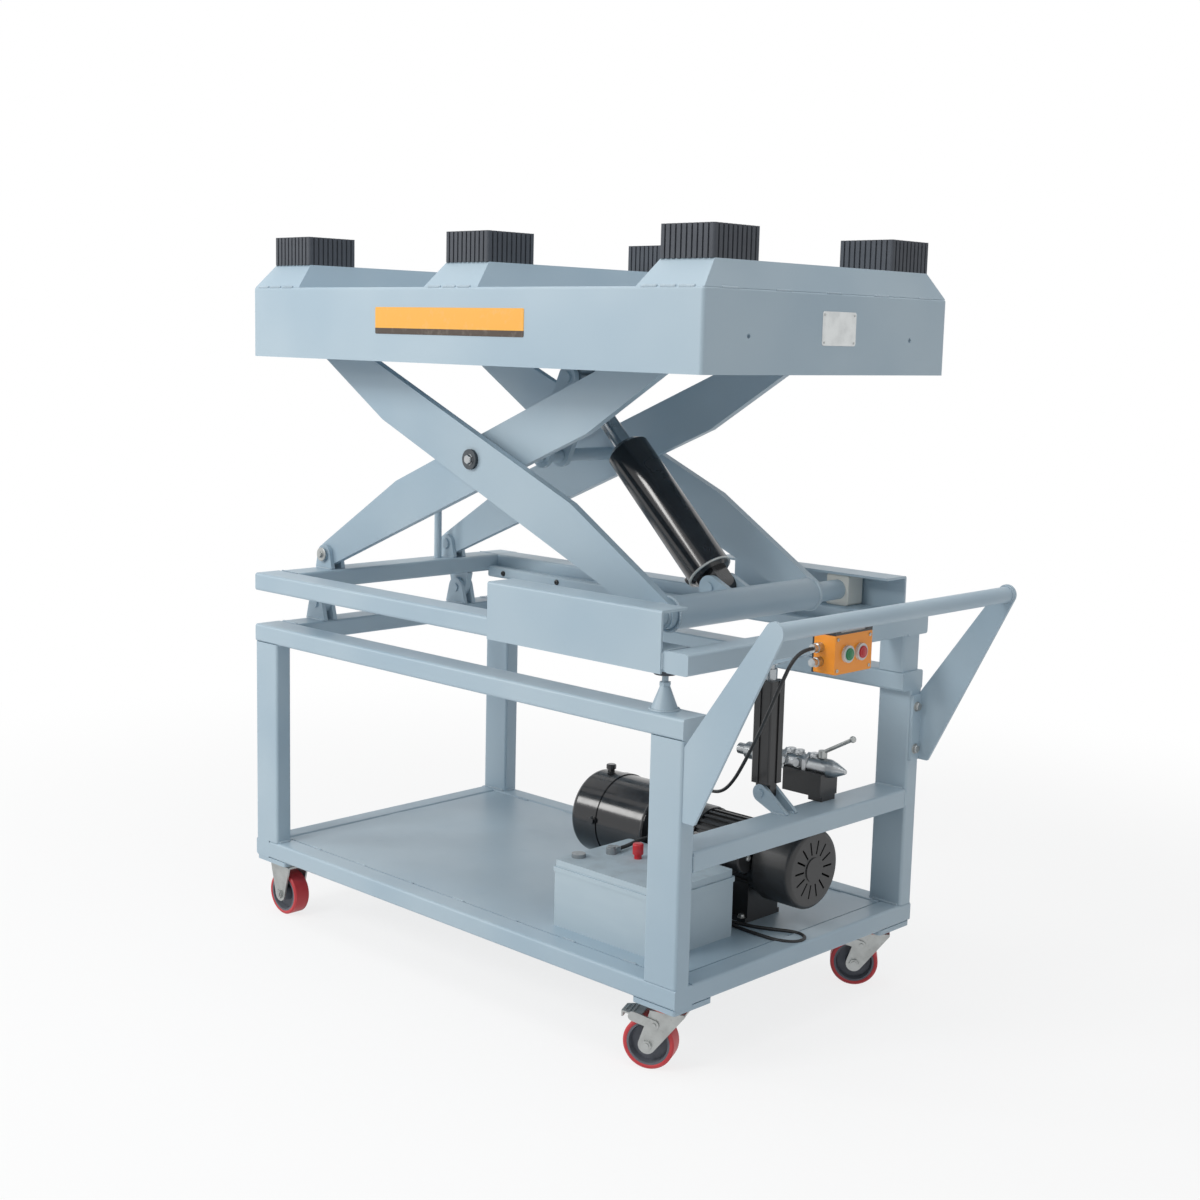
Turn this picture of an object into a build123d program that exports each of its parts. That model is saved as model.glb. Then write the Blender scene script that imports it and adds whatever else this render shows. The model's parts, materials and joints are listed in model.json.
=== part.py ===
from build123d import *
import os
from math import atan2, cos, degrees, hypot, pi, radians, sin, tan

# Mobile electro-hydraulic scissor lift table with a tilting upper ring, in millimetres.
# +X points to the handle end, +Z up, and the floor is z = 0.

# Rails of the trolley and of the tilt ring
FRAME_L = 1300.0
FRAME_W = 750.0
RAIL_H = 40.0
RAIL_WALL = 3.0
RAIL_R = 6.0
LOWER_RAIL_W = 50.0
UPPER_RAIL_W = 70.0
POST_L = 80.0
POST_W = 40.0
POST_H = 462.0
MID_RAIL_W = 80.0
MID_RAIL_RISE = 212.0
DECK_T = 3.0
DECK_DROP = 2.0
DECK_GAP = 2.0

# Casters
CASTER_PLATE_L = 105.0
CASTER_PLATE_T = 10.0
CASTER_H = 130.0
CASTER_INSET = 54.0
WHEEL_R = 50.0
WHEEL_W = 40.0
TREAD_T = 8.0
HUB_W = 46.0
HUB_R = 16.0
AXLE_R = 6.0
KINGPIN_R = 7.0
KINGPIN_L = 8.0
HEAD_R = 34.0
HEAD_T = 11.0
FORK_T = 4.0
FORK_TRAIL = 38.0
FORK_SIDE_GAP = 1.0
FORK_FOOT_R = 17.0
LEFT_TURN = 25.0
RIGHT_TURN = 36.0
PEDAL_PIVOT = (-24.0, -38.0)
PEDAL_PIN_R = 4.0
PEDAL_REACH = 68.0
PEDAL_TIP_W = 36.0
PEDAL_RISE = 12.0
PEDAL_T = 3.0

# Handle
HANDLE_REACH = 190.0
HANDLE_BAR_R = 16.0
HANDLE_BAR_WALL = 2.5
HANDLE_END_R = 20.0
HANDLE_RISE = 180.0
HANDLE_PLATE_T = 6.0
HANDLE_INSET = 4.0
HANDLE_FOOT_DROP = 148.0
HANDLE_FOOT_H = 137.0
HANDLE_FOOT_W = 26.0
HANDLE_FLANGE_W = 34.0

# Control box under the handle bar
BOX_L = 46.0
BOX_W = 111.0
BOX_H = 71.0
BOX_WALL = 3.0
BOX_Y = -127.0
BOX_DROP = 10.0
COVER_T = 4.0
BUTTON_R = 11.0
BUTTON_SPACING = 40.0
BUTTON_PROUD = 9.0
BUTTON_DEPTH = 14.0
BEZEL_R = 15.5
BEZEL_T = 6.0
SLEEVE_R = 13.0
GLAND_R = 9.0
GLAND_L = 24.0
HANGER_T = 4.0

# Hydraulic power pack, one axis along X
PACK_CLEAR = 128.0
PACK_RISE = 131.0
TANK_R = 92.0
TANK_L = 215.0
TANK_END_R = 16.0
PUMP_L = 95.0
PUMP_W = 120.0
MOTOR_R = 70.0
MOTOR_L = 195.0
MOTOR_RIB = 5.0
MOTOR_RIBS = 28
FAN_R = 82.0
FAN_L = 92.0
FAN_FACE_T = 4.0
PACK_FRONT = 28.0
FOOT_L = 130.0
FOOT_W = 110.0
FOOT_T = 10.0
CAP_R = 32.0
CAP_L = 58.0

# Valve group on the middle rail
VALVE_Y = 140.0
VALVE_RISE = 66.0
VALVE_REACH = 27.0
VALVE_R = 19.0
VALVE_L = 235.0
VALVE_NOSE_L = 38.0
VALVE_BLOCK_L = 96.0
VALVE_BLOCK_W = 56.0
VALVE_SEAT_T = 10.0
LEVER_L = 82.0
LEVER_R = 4.0
LEVER_TILT = 29.0
LEVER_BOSS_R = 9.0
LEVER_STEM_H = 12.0

# Battery on the deck
BATTERY_L = 286.0
BATTERY_W = 220.0
BATTERY_H = 112.0
BATTERY_LID_H = 24.0
BATTERY_FRONT = 125.0
BATTERY_SIDE = 92.0
TERMINAL_R = 11.0
TERMINAL_H = 16.0
LUG_W = 14.0
LUG_L = 20.0
LUG_H = 13.0

# Tilt ring and its rear hinges
TILT_GAP = 77.0
TILT_SIDE_W = 70.0
TILT_REAR_W = 70.0
TILT_FRONT_W = 54.0
TILT_FRONT_OVERHANG = 6.0
SIDE_BAR_W = 30.0
SIDE_BAR_H = 26.0
SIDE_BAR_DROP = 14.0
SIDE_BAR_SHORT = 142.0
HINGE_X = 35.0
HINGE_Y = 215.0
HINGE_PIN_R = 10.0
HINGE_EAR_T = 10.0
HINGE_EAR_R = 24.0
TONGUE_T = 16.0
CHANNEL_BACK = 328.0
CHANNEL_L = 458.0
CHANNEL_T = 5.0
CHANNEL_FLANGE = 65.0
PROP_R = 9.0
PROP_H = 125.0
PROP_Y = 138.0

# Rests for the front of the tilt ring
CONE_R = 26.0
CONE_TOP_R = 9.0
CONE_H = 44.0
CONE_BACK = 82.0
CONE_INSET = 40.0
REST_PAD_R = 22.0
REST_PAD_T = 12.0
STUD_R = 6.0
PILLAR_L = 60.0

# Tilt actuator
ACTUATOR_BACK = 105.0
ACTUATOR_FOOT_RISE = 33.0
ACTUATOR_HEAD_DROP = 22.0
ACTUATOR_W = 44.0
ACTUATOR_BORE_R = 14.05
ACTUATOR_ROD_R = 14.0
ACTUATOR_TOP_GAP = 46.0
ACTUATOR_PIN_R = 8.0
ACTUATOR_EYE_R = 18.0
ACTUATOR_EYE_T = 20.0
ACTUATOR_EAR_T = 8.0
HEAD_PIN_PLAY = 1.8

# Scissor
SLIDE_END = 216.0
REST_ANGLE = 25.37
PIVOT_RISE = 33.0
ARM_HINGE_X = 31.0
ARM_T = 18.0
ARM_GAP = 21.0
ARM_END_R = 28.0
ARM_KINK_SHARE = 0.49
ARM_KINK_V = 52.0
ARM_KINK_R = 12.0
OUTER_ARM_Y = 235.0
ARM_PIN_R = 12.5
CENTRE_PIN_R = 10.0
CENTRE_PIN_REACH = 40.0
CENTRE_TUBE_R = 14.5
SPACER_R = 18.0
CENTRE_HEAD_R = 21.0
CENTRE_HEAD_T = 7.0
CROSS_TUBE_R = 32.5
CROSS_TUBE_WALL = 5.0
SHAFT_R = 21.0
SLIDER_L = 56.0
SLIDER_W = 50.0
SLIDER_GAP = 7.0
SLIDE_PLAY = 0.5
EAR_T = 10.0
EAR_GAP = 0.5

# Lift cylinder between the outer arms' cross tube and the inner arms' bracket
LIFT_FOOT_BACK = 63.0
LIFT_HEAD_U = 140.0
LIFT_HEAD_V = 123.0
BARREL_R = 46.0
BARREL_WALL = 6.0
BARREL_START = 30.0
ROD_SHOW = 202.0
BARREL_FLOOR = 14.0
GLAND_HEAD_L = 34.0
LIFT_ROD_R = 19.0
PISTON_L = 30.0
PISTON_START = 145.0
LIFT_PIN_R = 12.5
LIFT_EYE_R = 25.0
LIFT_EYE_T = 44.0
LIFT_EAR_T = 12.0
LIFT_SLOT_FORE = 12.0
LIFT_SLOT_BACK = 4.0
LIFT_SLOT_PLAY = 3.8
LIFT_SLOT_WALL = 11.0

# Platform
PLATFORM_INSET = 3.0
PLATFORM_H = 150.0
PLATFORM_T = 5.0
PLATFORM_R = 7.0
PLATFORM_OVERHANG = 4.0
PLATFORM_FRONT = 12.0
PLATFORM_PIVOT = 60.0
END_HOLE_R = 4.5
END_HOLE_SPACING = 496.0
END_HOLE_RISE = 68.0
RIDGE_L = 160.0
RIDGE_H = 50.0
RIDGE_T = 4.0
RIDGE_SLOPE_X = 17.0
RIDGE_SLOPE_Y = 45.0
RIDGE_EDGE = 2.0
PAD_L = 126.0
PAD_H = 60.0
PAD_Y = 265.0
PAD_GROOVES = 9
PAD_GROOVE_W = 4.0
PAD_GROOVE_D = 3.0
TRACK_L = 360.0
TRACK_T = 5.0
TRACK_FLANGE = 60.0

# Clearances
PIN_PLAY = 0.05
BODY_GAP = 0.4

# Places that follow from the sizes above
REAR = -(FRAME_L + HANDLE_REACH + HANDLE_END_R - PLATFORM_OVERHANG) / 2
FRONT = REAR + FRAME_L
SIDE = FRAME_W / 2
LOWER_TOP = CASTER_H + CASTER_PLATE_T + RAIL_H
LOWER_BOTTOM = LOWER_TOP - RAIL_H
DECK_TOP = LOWER_TOP - DECK_DROP
UPPER_BOTTOM = LOWER_TOP + POST_H
UPPER_TOP = UPPER_BOTTOM + RAIL_H
MID_TOP = LOWER_TOP + MID_RAIL_RISE + RAIL_H
TILT_BOTTOM = UPPER_TOP + TILT_GAP
TILT_TOP = TILT_BOTTOM + RAIL_H
PIVOT_Z = TILT_TOP + PIVOT_RISE
ANGLE = radians(REST_ANGLE)
SLIDE_SPAN = FRAME_L - SLIDE_END
ARM_HALF = SLIDE_SPAN / (2 * cos(ANGLE))
ARM_KINK = ARM_HALF * ARM_KINK_SHARE
HINGE_LINE_X = REAR + ARM_HINGE_X
CENTRE = Vector(HINGE_LINE_X + SLIDE_SPAN / 2, 0, PIVOT_Z + ARM_HALF * sin(ANGLE))
SLIDE_X = HINGE_LINE_X + SLIDE_SPAN
TOP_PIVOT_Z = PIVOT_Z + 2 * ARM_HALF * sin(ANGLE)
INNER_ARM_Y = OUTER_ARM_Y - ARM_T - ARM_GAP
PLATFORM_L = FRAME_L + PLATFORM_OVERHANG + PLATFORM_FRONT
PLATFORM_W = FRAME_W - 2 * PLATFORM_INSET
PLATFORM_REAR = REAR - PLATFORM_OVERHANG
PLATFORM_BOTTOM = TOP_PIVOT_Z - PLATFORM_PIVOT
PLATFORM_TOP = PLATFORM_BOTTOM + PLATFORM_H
HANDLE_Z = UPPER_TOP + HANDLE_RISE
CONE_X = FRONT - CONE_BACK
CONE_Y = SIDE - CONE_INSET
PACK_Y = BATTERY_SIDE + BATTERY_W + PACK_CLEAR - SIDE
PACK_Z = DECK_TOP + PACK_RISE
FAN_END = FRONT - PACK_FRONT
MOTOR_END = FAN_END - FAN_L
MOTOR_START = MOTOR_END - MOTOR_L
PUMP_START = MOTOR_START - PUMP_L
TANK_START = PUMP_START - TANK_L
SIDES = (-1, 1)


def block(low, high):
    """Box between its lowest and highest corners."""
    size = [b - a for a, b in zip(low, high)]
    return Pos(*low) * Box(*size, align=(Align.MIN, Align.MIN, Align.MIN))


def rod(start, end, radius, bore=0.0):
    """Round bar, or tube where a bore is given, between two points."""
    axis = Vector(*end) - Vector(*start)
    section = Plane(origin=start, z_dir=axis) * Circle(radius)
    solid = extrude(section, amount=axis.length, dir=axis)
    if bore:
        hole = Plane(origin=start, z_dir=axis) * Circle(bore)
        solid -= extrude(hole, amount=axis.length, dir=axis)
    return solid


def cross_rod(x, z, y0, y1, radius, bore=0.0):
    """Round bar or tube along Y."""
    return rod((x, y0, z), (x, y1, z), radius, bore)


def rail(start, end, width, height=RAIL_H, closed_start=False, closed_end=False):
    """Rectangular tube with rounded edges between the centres of its two ends."""
    axis = Vector(*end) - Vector(*start)
    length = axis.length
    across = Vector(0, 1, 0) if abs(axis.X) > abs(axis.Y) and abs(axis.X) > abs(axis.Z) else Vector(1, 0, 0)
    plane = Plane(origin=start, x_dir=across, z_dir=axis)
    outer = extrude(plane * RectangleRounded(width, height, RAIL_R), amount=length)
    inner = RectangleRounded(width - 2 * RAIL_WALL, height - 2 * RAIL_WALL, RAIL_R - RAIL_WALL)
    first = RAIL_WALL if closed_start else 0.0
    last = length - (RAIL_WALL if closed_end else 0.0)
    bore = extrude(plane.offset(first) * inner, amount=last - first)
    return outer - bore


def plate(outline, y0, y1):
    """Sheet with an outline drawn in X and Z, between two places along Y."""
    face = Plane(origin=(0, y0, 0), x_dir=(1, 0, 0), z_dir=(0, -1, 0)) * outline
    return extrude(face, amount=y1 - y0, dir=(0, 1, 0))


def disc(x, z, radius):
    """Circle edge at a place in an outline's plane."""
    return (Pos(x, z) * Circle(radius)).edge()


def hull_of(*circles):
    """Outline that wraps circles given as x, z and radius."""
    return make_hull([disc(*circle) for circle in circles])


def revolved_x(points, y, z):
    """Turned piece along X from a profile of x and radius."""
    plane = Plane(origin=(0, y, z), x_dir=(1, 0, 0), z_dir=(0, -1, 0))
    face = plane * make_face(Polyline(*points, close=True))
    return revolve(face, axis=Axis((0, y, z), (1, 0, 0)))


def mirrored(solids):
    """Solids together with their mirror images across the middle plane."""
    return list(solids) + [mirror(solid, about=Plane.XZ) for solid in solids]


# Trolley

def lower_ring():
    """Four rails that butt in turn round the ring, with a plate for a caster under each corner."""
    half = LOWER_RAIL_W / 2
    z = LOWER_BOTTOM + RAIL_H / 2
    rails = [
        rail((REAR + LOWER_RAIL_W, half - SIDE, z), (FRONT, half - SIDE, z), LOWER_RAIL_W, closed_end=True),
        rail((FRONT - half, LOWER_RAIL_W - SIDE, z), (FRONT - half, SIDE, z), LOWER_RAIL_W, closed_end=True),
        rail((REAR, SIDE - half, z), (FRONT - LOWER_RAIL_W, SIDE - half, z), LOWER_RAIL_W, closed_start=True),
        rail((REAR + half, -SIDE, z), (REAR + half, SIDE - LOWER_RAIL_W, z), LOWER_RAIL_W, closed_start=True),
    ]
    plates = []
    for x, y in caster_places():
        low = LOWER_BOTTOM - CASTER_PLATE_T
        sketch = Pos(x, y, low) * RectangleRounded(CASTER_PLATE_L, CASTER_PLATE_L, RAIL_R)
        solid = extrude(sketch, amount=CASTER_PLATE_T)
        if x > 0:
            solid -= rod((x, y, low), (x, y, LOWER_BOTTOM), KINGPIN_R + PIN_PLAY)
        plates.append(solid)
    return rails + plates


def caster_places():
    """Swivel axes at the handle end, then the fixed casters at the rear, left side first."""
    y = SIDE - CASTER_INSET
    front = FRONT - CASTER_INSET
    rear = REAR + CASTER_INSET
    return [(front, -y), (front, y), (rear, -y), (rear, y)]


def deck_plate():
    inset = LOWER_RAIL_W + DECK_GAP
    sheet = block((REAR + inset, inset - SIDE, DECK_TOP - DECK_T), (FRONT - inset, SIDE - inset, DECK_TOP))
    # Short weld tabs bridge the gap to the rails
    tab = 40.0
    tabs = []
    for x in (REAR + FRAME_L / 4, REAR + FRAME_L / 2, REAR + 3 * FRAME_L / 4):
        for y in (inset - DECK_GAP - SIDE, SIDE - inset):
            tabs.append(block((x - tab / 2, y, DECK_TOP - DECK_T), (x + tab / 2, y + DECK_GAP, DECK_TOP)))
    for x in (REAR + inset - DECK_GAP, FRONT - inset):
        tabs.append(block((x, -tab / 2, DECK_TOP - DECK_T), (x + DECK_GAP, tab / 2, DECK_TOP)))
    return [sheet + tabs]


def corner_posts():
    posts = []
    for x in (REAR + POST_L / 2, FRONT - POST_L / 2):
        for y in (POST_W / 2 - SIDE, SIDE - POST_W / 2):
            posts.append(rail((x, y, LOWER_TOP), (x, y, UPPER_BOTTOM), POST_L, POST_W))
    return posts


def upper_rails():
    """Two side rails with closed front ends and a rear rail between the side rails."""
    z = UPPER_BOTTOM + RAIL_H / 2
    half = UPPER_RAIL_W / 2
    sides = mirrored([rail((REAR, half - SIDE, z), (FRONT, half - SIDE, z), UPPER_RAIL_W, closed_end=True)])
    rear = rail((REAR + half, UPPER_RAIL_W - SIDE, z), (REAR + half, SIDE - UPPER_RAIL_W, z), UPPER_RAIL_W)
    cap = RectangleRounded(UPPER_RAIL_W - 2 * RAIL_WALL, RAIL_H - 2 * RAIL_WALL, RAIL_R - RAIL_WALL)
    plane = Plane(origin=(REAR, half - SIDE, z), x_dir=(0, 1, 0), z_dir=(1, 0, 0))
    caps = mirrored([extrude(plane * cap, amount=RAIL_WALL)])
    return sides + [rear] + caps


def mid_rail():
    x = FRONT - MID_RAIL_W / 2
    z = MID_TOP - RAIL_H / 2
    return [rail((x, POST_W - SIDE, z), (x, SIDE - POST_W, z), MID_RAIL_W)] + actuator_foot()


def handle_arms():
    """Bent plates: a flange on the post's front face and a web that runs out to the bar."""
    low = UPPER_BOTTOM - HANDLE_FOOT_DROP
    web = make_hull([
        disc(FRONT + HANDLE_REACH, HANDLE_Z, HANDLE_END_R),
        disc(FRONT + 3, low + 3, 3), disc(FRONT + HANDLE_FOOT_W, low + 3, 3),
        disc(FRONT + 3, low + HANDLE_FOOT_H, 3),
    ])
    outer = SIDE - HANDLE_INSET
    arm = plate(web, -outer, HANDLE_PLATE_T - outer)
    flange = block((FRONT, HANDLE_PLATE_T - outer, low),
                   (FRONT + HANDLE_PLATE_T, HANDLE_FLANGE_W - outer, low + HANDLE_FOOT_H))
    return mirrored([arm, flange])


def handle_bar():
    end = SIDE - HANDLE_INSET - HANDLE_PLATE_T
    bore = HANDLE_BAR_R - HANDLE_BAR_WALL
    return [cross_rod(FRONT + HANDLE_REACH, HANDLE_Z, -end, end, HANDLE_BAR_R, bore)]


BOX_FRONT = FRONT + HANDLE_REACH - HANDLE_BAR_R + BEZEL_T
BOX_BACK = BOX_FRONT - BOX_L
BOX_TOP = HANDLE_Z - HANDLE_BAR_R - BOX_DROP
BOX_LOW = BOX_TOP - BOX_H


def button_places():
    z = BOX_LOW + BOX_H / 2
    return [(BOX_Y - BUTTON_SPACING / 2, z), (BOX_Y + BUTTON_SPACING / 2, z)]


def gland_places():
    """Axes along Y of the two cable glands on the box's left end."""
    x = BOX_BACK + BOX_L * 0.3
    return [(x, BOX_LOW + BOX_H * 0.66), (x, BOX_LOW + BOX_H * 0.3)]


def control_hanger():
    """Sheet behind the box with a flange over it, and two saddles up to the bar."""
    left, right = BOX_Y - BOX_W / 2, BOX_Y + BOX_W / 2
    back = block((BOX_BACK - HANGER_T, left, BOX_LOW), (BOX_BACK, right, BOX_TOP + HANGER_T))
    top = block((BOX_BACK, left, BOX_TOP), (BOX_FRONT, right, BOX_TOP + HANGER_T))
    saddle_w = 16.0
    bar_x = FRONT + HANDLE_REACH
    solid = back + top
    for y in (left, right - saddle_w):
        top_z = HANDLE_Z - HANDLE_BAR_R / 2
        saddle = block((bar_x - HANDLE_BAR_R, y, BOX_TOP), (BOX_FRONT, y + saddle_w, top_z))
        solid += saddle - cross_rod(bar_x, HANDLE_Z, y, y + saddle_w, HANDLE_BAR_R)
    return [solid]


def control_box():
    """Case that is open at the front, with a hole for each gland in its left end."""
    left, right = BOX_Y - BOX_W / 2, BOX_Y + BOX_W / 2
    case = block((BOX_BACK, left, BOX_LOW), (BOX_FRONT - COVER_T, right, BOX_TOP))
    case = fillet(case.edges().filter_by(Axis.X), 3.0)
    case -= block((BOX_BACK + BOX_WALL, left + BOX_WALL, BOX_LOW + BOX_WALL),
                  (BOX_FRONT, right - BOX_WALL, BOX_TOP - BOX_WALL))
    for x, z in gland_places():
        case -= cross_rod(x, z, left - 1, left + BOX_WALL + 1, GLAND_R * 0.7)
    return [case]


def control_cover():
    left, right = BOX_Y - BOX_W / 2, BOX_Y + BOX_W / 2
    cover = block((BOX_FRONT - COVER_T, left, BOX_LOW), (BOX_FRONT, right, BOX_TOP))
    cover = fillet(cover.edges().filter_by(Axis.X), 3.0)
    for y, z in button_places():
        cover -= rod((BOX_FRONT - COVER_T, y, z), (BOX_FRONT, y, z), SLEEVE_R)
    return [cover]


def control_fittings():
    """Button bezels with their sleeves, and the cable glands."""
    solids = []
    for y, z in button_places():
        flange = rod((BOX_FRONT, y, z), (BOX_FRONT + BEZEL_T, y, z), BEZEL_R)
        sleeve = rod((BOX_FRONT - BUTTON_DEPTH, y, z), (BOX_FRONT, y, z), SLEEVE_R)
        bore = rod((BOX_FRONT - BUTTON_DEPTH, y, z), (BOX_FRONT + BEZEL_T, y, z), BUTTON_R + PIN_PLAY)
        solids.append(flange + sleeve - bore)
    end = BOX_Y - BOX_W / 2
    for x, z in gland_places():
        body = cross_rod(x, z, end - GLAND_L * 0.55, end, GLAND_R)
        nut = cross_rod(x, z, end - GLAND_L, end - GLAND_L * 0.55, GLAND_R * 0.85)
        tail = cross_rod(x, z, end, end + BOX_WALL, GLAND_R * 0.7)
        solids.append(body + nut + tail)
    return solids


def button(index):
    y, z = button_places()[index]
    cap = rod((BOX_FRONT - BUTTON_DEPTH + 6, y, z), (BOX_FRONT + BUTTON_PROUD, y, z), BUTTON_R)
    return [fillet(cap.edges().group_by(Axis.X)[-1], 1.5)]


# Power pack

def oil_tank():
    """Drawn steel tank with a rounded rear end."""
    profile = [(TANK_START, 0), (TANK_START, TANK_R), (PUMP_START, TANK_R), (PUMP_START, 0)]
    tank = revolved_x(profile, PACK_Y, PACK_Z)
    return [fillet(tank.edges().group_by(Axis.X)[0], TANK_END_R)]


def tank_fittings():
    """Clamp band round the tank and the filler cap on top of it."""
    band_x = TANK_START + TANK_L * 0.3
    band = rod((band_x, PACK_Y, PACK_Z), (band_x + 16, PACK_Y, PACK_Z), TANK_R + 2, TANK_R)
    cap_x = TANK_START + TANK_L * 0.17
    top = PACK_Z + TANK_R
    neck = rod((cap_x, PACK_Y, top - 2), (cap_x, PACK_Y, top + 7), 8.0)
    knob = rod((cap_x, PACK_Y, top + 7), (cap_x, PACK_Y, top + 17), 11.0)
    filler = neck + fillet(knob.edges().group_by(Axis.Z)[-1], 3.0)
    filler -= rod((TANK_START, PACK_Y, PACK_Z), (PUMP_START, PACK_Y, PACK_Z), TANK_R)
    return [band, filler]


def pump_block():
    """Manifold between the tank and the motor, on a foot that stands on the deck."""
    half = PUMP_W / 2
    body = block((PUMP_START, PACK_Y - half, PACK_Z - half), (MOTOR_START, PACK_Y + half, PACK_Z + half))
    body = chamfer(body.edges().filter_by(Axis.X), 10.0)
    foot_top = DECK_TOP + FOOT_T
    stem = block((PUMP_START + 20, PACK_Y - 40, foot_top), (MOTOR_START - 20, PACK_Y + 40, PACK_Z))
    foot = block((PUMP_START + 10, PACK_Y - half, DECK_TOP), (MOTOR_START - 10, PACK_Y + half, foot_top))
    return [body + stem, foot]


def motor_body():
    """Ribbed motor on a pressed foot."""
    core = rod((MOTOR_START, PACK_Y, PACK_Z), (MOTOR_END, PACK_Y, PACK_Z), MOTOR_R - MOTOR_RIB)
    ring = Circle(MOTOR_R)
    for step in range(MOTOR_RIBS):
        slot = Pos(MOTOR_R, 0) * Rectangle(2 * MOTOR_RIB, 0.55 * 2 * pi * MOTOR_R / MOTOR_RIBS)
        ring -= Rot(0, 0, 360.0 * (step + 0.5) / MOTOR_RIBS) * slot
    margin = 24.0
    plane = Plane(origin=(MOTOR_START + margin, PACK_Y, PACK_Z), x_dir=(0, 1, 0), z_dir=(1, 0, 0))
    ribs = extrude(plane * ring, amount=MOTOR_L - 2 * margin)
    collars = rod((MOTOR_START, PACK_Y, PACK_Z), (MOTOR_START + margin, PACK_Y, PACK_Z), MOTOR_R + 2)
    collars += rod((MOTOR_END - margin, PACK_Y, PACK_Z), (MOTOR_END, PACK_Y, PACK_Z), MOTOR_R + 2)
    middle = (MOTOR_START + MOTOR_END) / 2
    base = block((middle - FOOT_L / 2, PACK_Y - FOOT_W / 2, DECK_TOP),
                 (middle + FOOT_L / 2, PACK_Y + FOOT_W / 2, DECK_TOP + FOOT_T))
    stem = block((middle - FOOT_L / 2, PACK_Y - MOTOR_R * 0.7, DECK_TOP + FOOT_T),
                 (middle + FOOT_L / 2, PACK_Y + MOTOR_R * 0.7, PACK_Z))
    return [core + ribs + collars + stem, base]


def fan_cover():
    """Pressed cover with radial air slots round a plain middle disc."""
    shell = rod((MOTOR_END, PACK_Y, PACK_Z), (FAN_END, PACK_Y, PACK_Z), FAN_R)
    shell = fillet(shell.edges().group_by(Axis.X)[-1], 12.0)
    shell -= rod((MOTOR_END, PACK_Y, PACK_Z), (FAN_END - FAN_FACE_T, PACK_Y, PACK_Z), FAN_R - FAN_FACE_T)
    plane = Plane(origin=(FAN_END - FAN_FACE_T, PACK_Y, PACK_Z), x_dir=(0, 1, 0), z_dir=(1, 0, 0))
    slot = Pos(FAN_R * 0.55, 0) * Rectangle(FAN_R * 0.34, 4.0)
    for step in range(14):
        shell -= extrude(plane * (Rot(0, 0, 360.0 * step / 14) * slot), amount=FAN_FACE_T)
    hub = rod((FAN_END - FAN_FACE_T, PACK_Y, PACK_Z), (FAN_END + 2, PACK_Y, PACK_Z), FAN_R * 0.3)
    # A ring inside the open end seats on the motor's end collar
    seat = rod((MOTOR_END, PACK_Y, PACK_Z), (MOTOR_END + 6, PACK_Y, PACK_Z), FAN_R - FAN_FACE_T, MOTOR_R - 12)
    return [shell + hub + seat]


def motor_capacitor():
    """Round capacitor housing that lies along the motor's left flank."""
    x = MOTOR_END - CAP_L - 6
    reach = MOTOR_R + CAP_R * 0.62
    y, z = PACK_Y - reach * cos(radians(12)), PACK_Z + reach * sin(radians(12))
    can = rod((x, y, z), (x + CAP_L, y, z), CAP_R)
    can = fillet(can.edges().filter_by(GeomType.CIRCLE), 6.0)
    return [can - rod((MOTOR_START, PACK_Y, PACK_Z), (MOTOR_END, PACK_Y, PACK_Z), MOTOR_R + 2)]


VALVE_Z = MID_TOP + VALVE_RISE
VALVE_END = FRONT - MID_RAIL_W + VALVE_REACH
VALVE_START = VALVE_END - VALVE_L
LEVER_X = VALVE_END - 20.0


def valve_block():
    """Black manifold that overhangs the middle rail, on a seat plate."""
    front = VALVE_END - 2.0
    half = VALVE_BLOCK_W / 2
    low = MID_TOP + VALVE_SEAT_T
    high = VALVE_Z - VALVE_R * 0.5
    seat = block((front - 34, VALVE_Y - half + 6, MID_TOP), (front, VALVE_Y + half - 6, low))
    body = block((front - VALVE_BLOCK_L, VALVE_Y - half, low), (front, VALVE_Y + half, high))
    body -= rod((VALVE_START, VALVE_Y, VALVE_Z), (VALVE_END, VALVE_Y, VALVE_Z), VALVE_R)
    return [seat + body]


def valve_cartridges():
    """Turned valve body with two coil cans, collars and a tapered nose."""
    steps = [(0.00, 0.62), (0.10, 0.62), (0.10, 0.95), (0.34, 0.95), (0.34, 0.7), (0.40, 0.7), (0.40, 0.95),
             (0.58, 0.95), (0.58, 1.0), (1.0, 1.0)]
    profile = [(VALVE_START, 0.0)]
    profile += [(VALVE_START + VALVE_L * along, VALVE_R * size) for along, size in steps]
    profile += [(VALVE_END + VALVE_NOSE_L * 0.35, VALVE_R * 0.8), (VALVE_END + VALVE_NOSE_L, VALVE_R * 0.25),
                (VALVE_END + VALVE_NOSE_L, 0.0)]
    body = revolved_x(profile, VALVE_Y, VALVE_Z)
    stem_top = VALVE_Z + VALVE_R + LEVER_STEM_H
    stem = rod((LEVER_X, VALVE_Y, VALVE_Z), (LEVER_X, VALVE_Y, stem_top), LEVER_BOSS_R * 0.6)
    return [body + stem]


def valve_lever():
    """Hand lever with a ball end, turning on the valve's stem."""
    low = VALVE_Z + VALVE_R + BODY_GAP
    top = VALVE_Z + VALVE_R + LEVER_STEM_H + 3
    boss = rod((LEVER_X, VALVE_Y, low), (LEVER_X, VALVE_Y, top), LEVER_BOSS_R)
    tilt = radians(LEVER_TILT)
    start = (LEVER_X, VALVE_Y, top - LEVER_R)
    end = (LEVER_X + LEVER_L * cos(tilt), VALVE_Y, top - LEVER_R + LEVER_L * sin(tilt))
    lever = boss + rod(start, end, LEVER_R) + Pos(*end) * Sphere(LEVER_R * 1.7)
    bore_top = low + LEVER_STEM_H + PIN_PLAY
    lever -= rod((LEVER_X, VALVE_Y, low), (LEVER_X, VALVE_Y, bore_top), LEVER_BOSS_R * 0.6 + PIN_PLAY)
    return [lever]


# Battery

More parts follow.
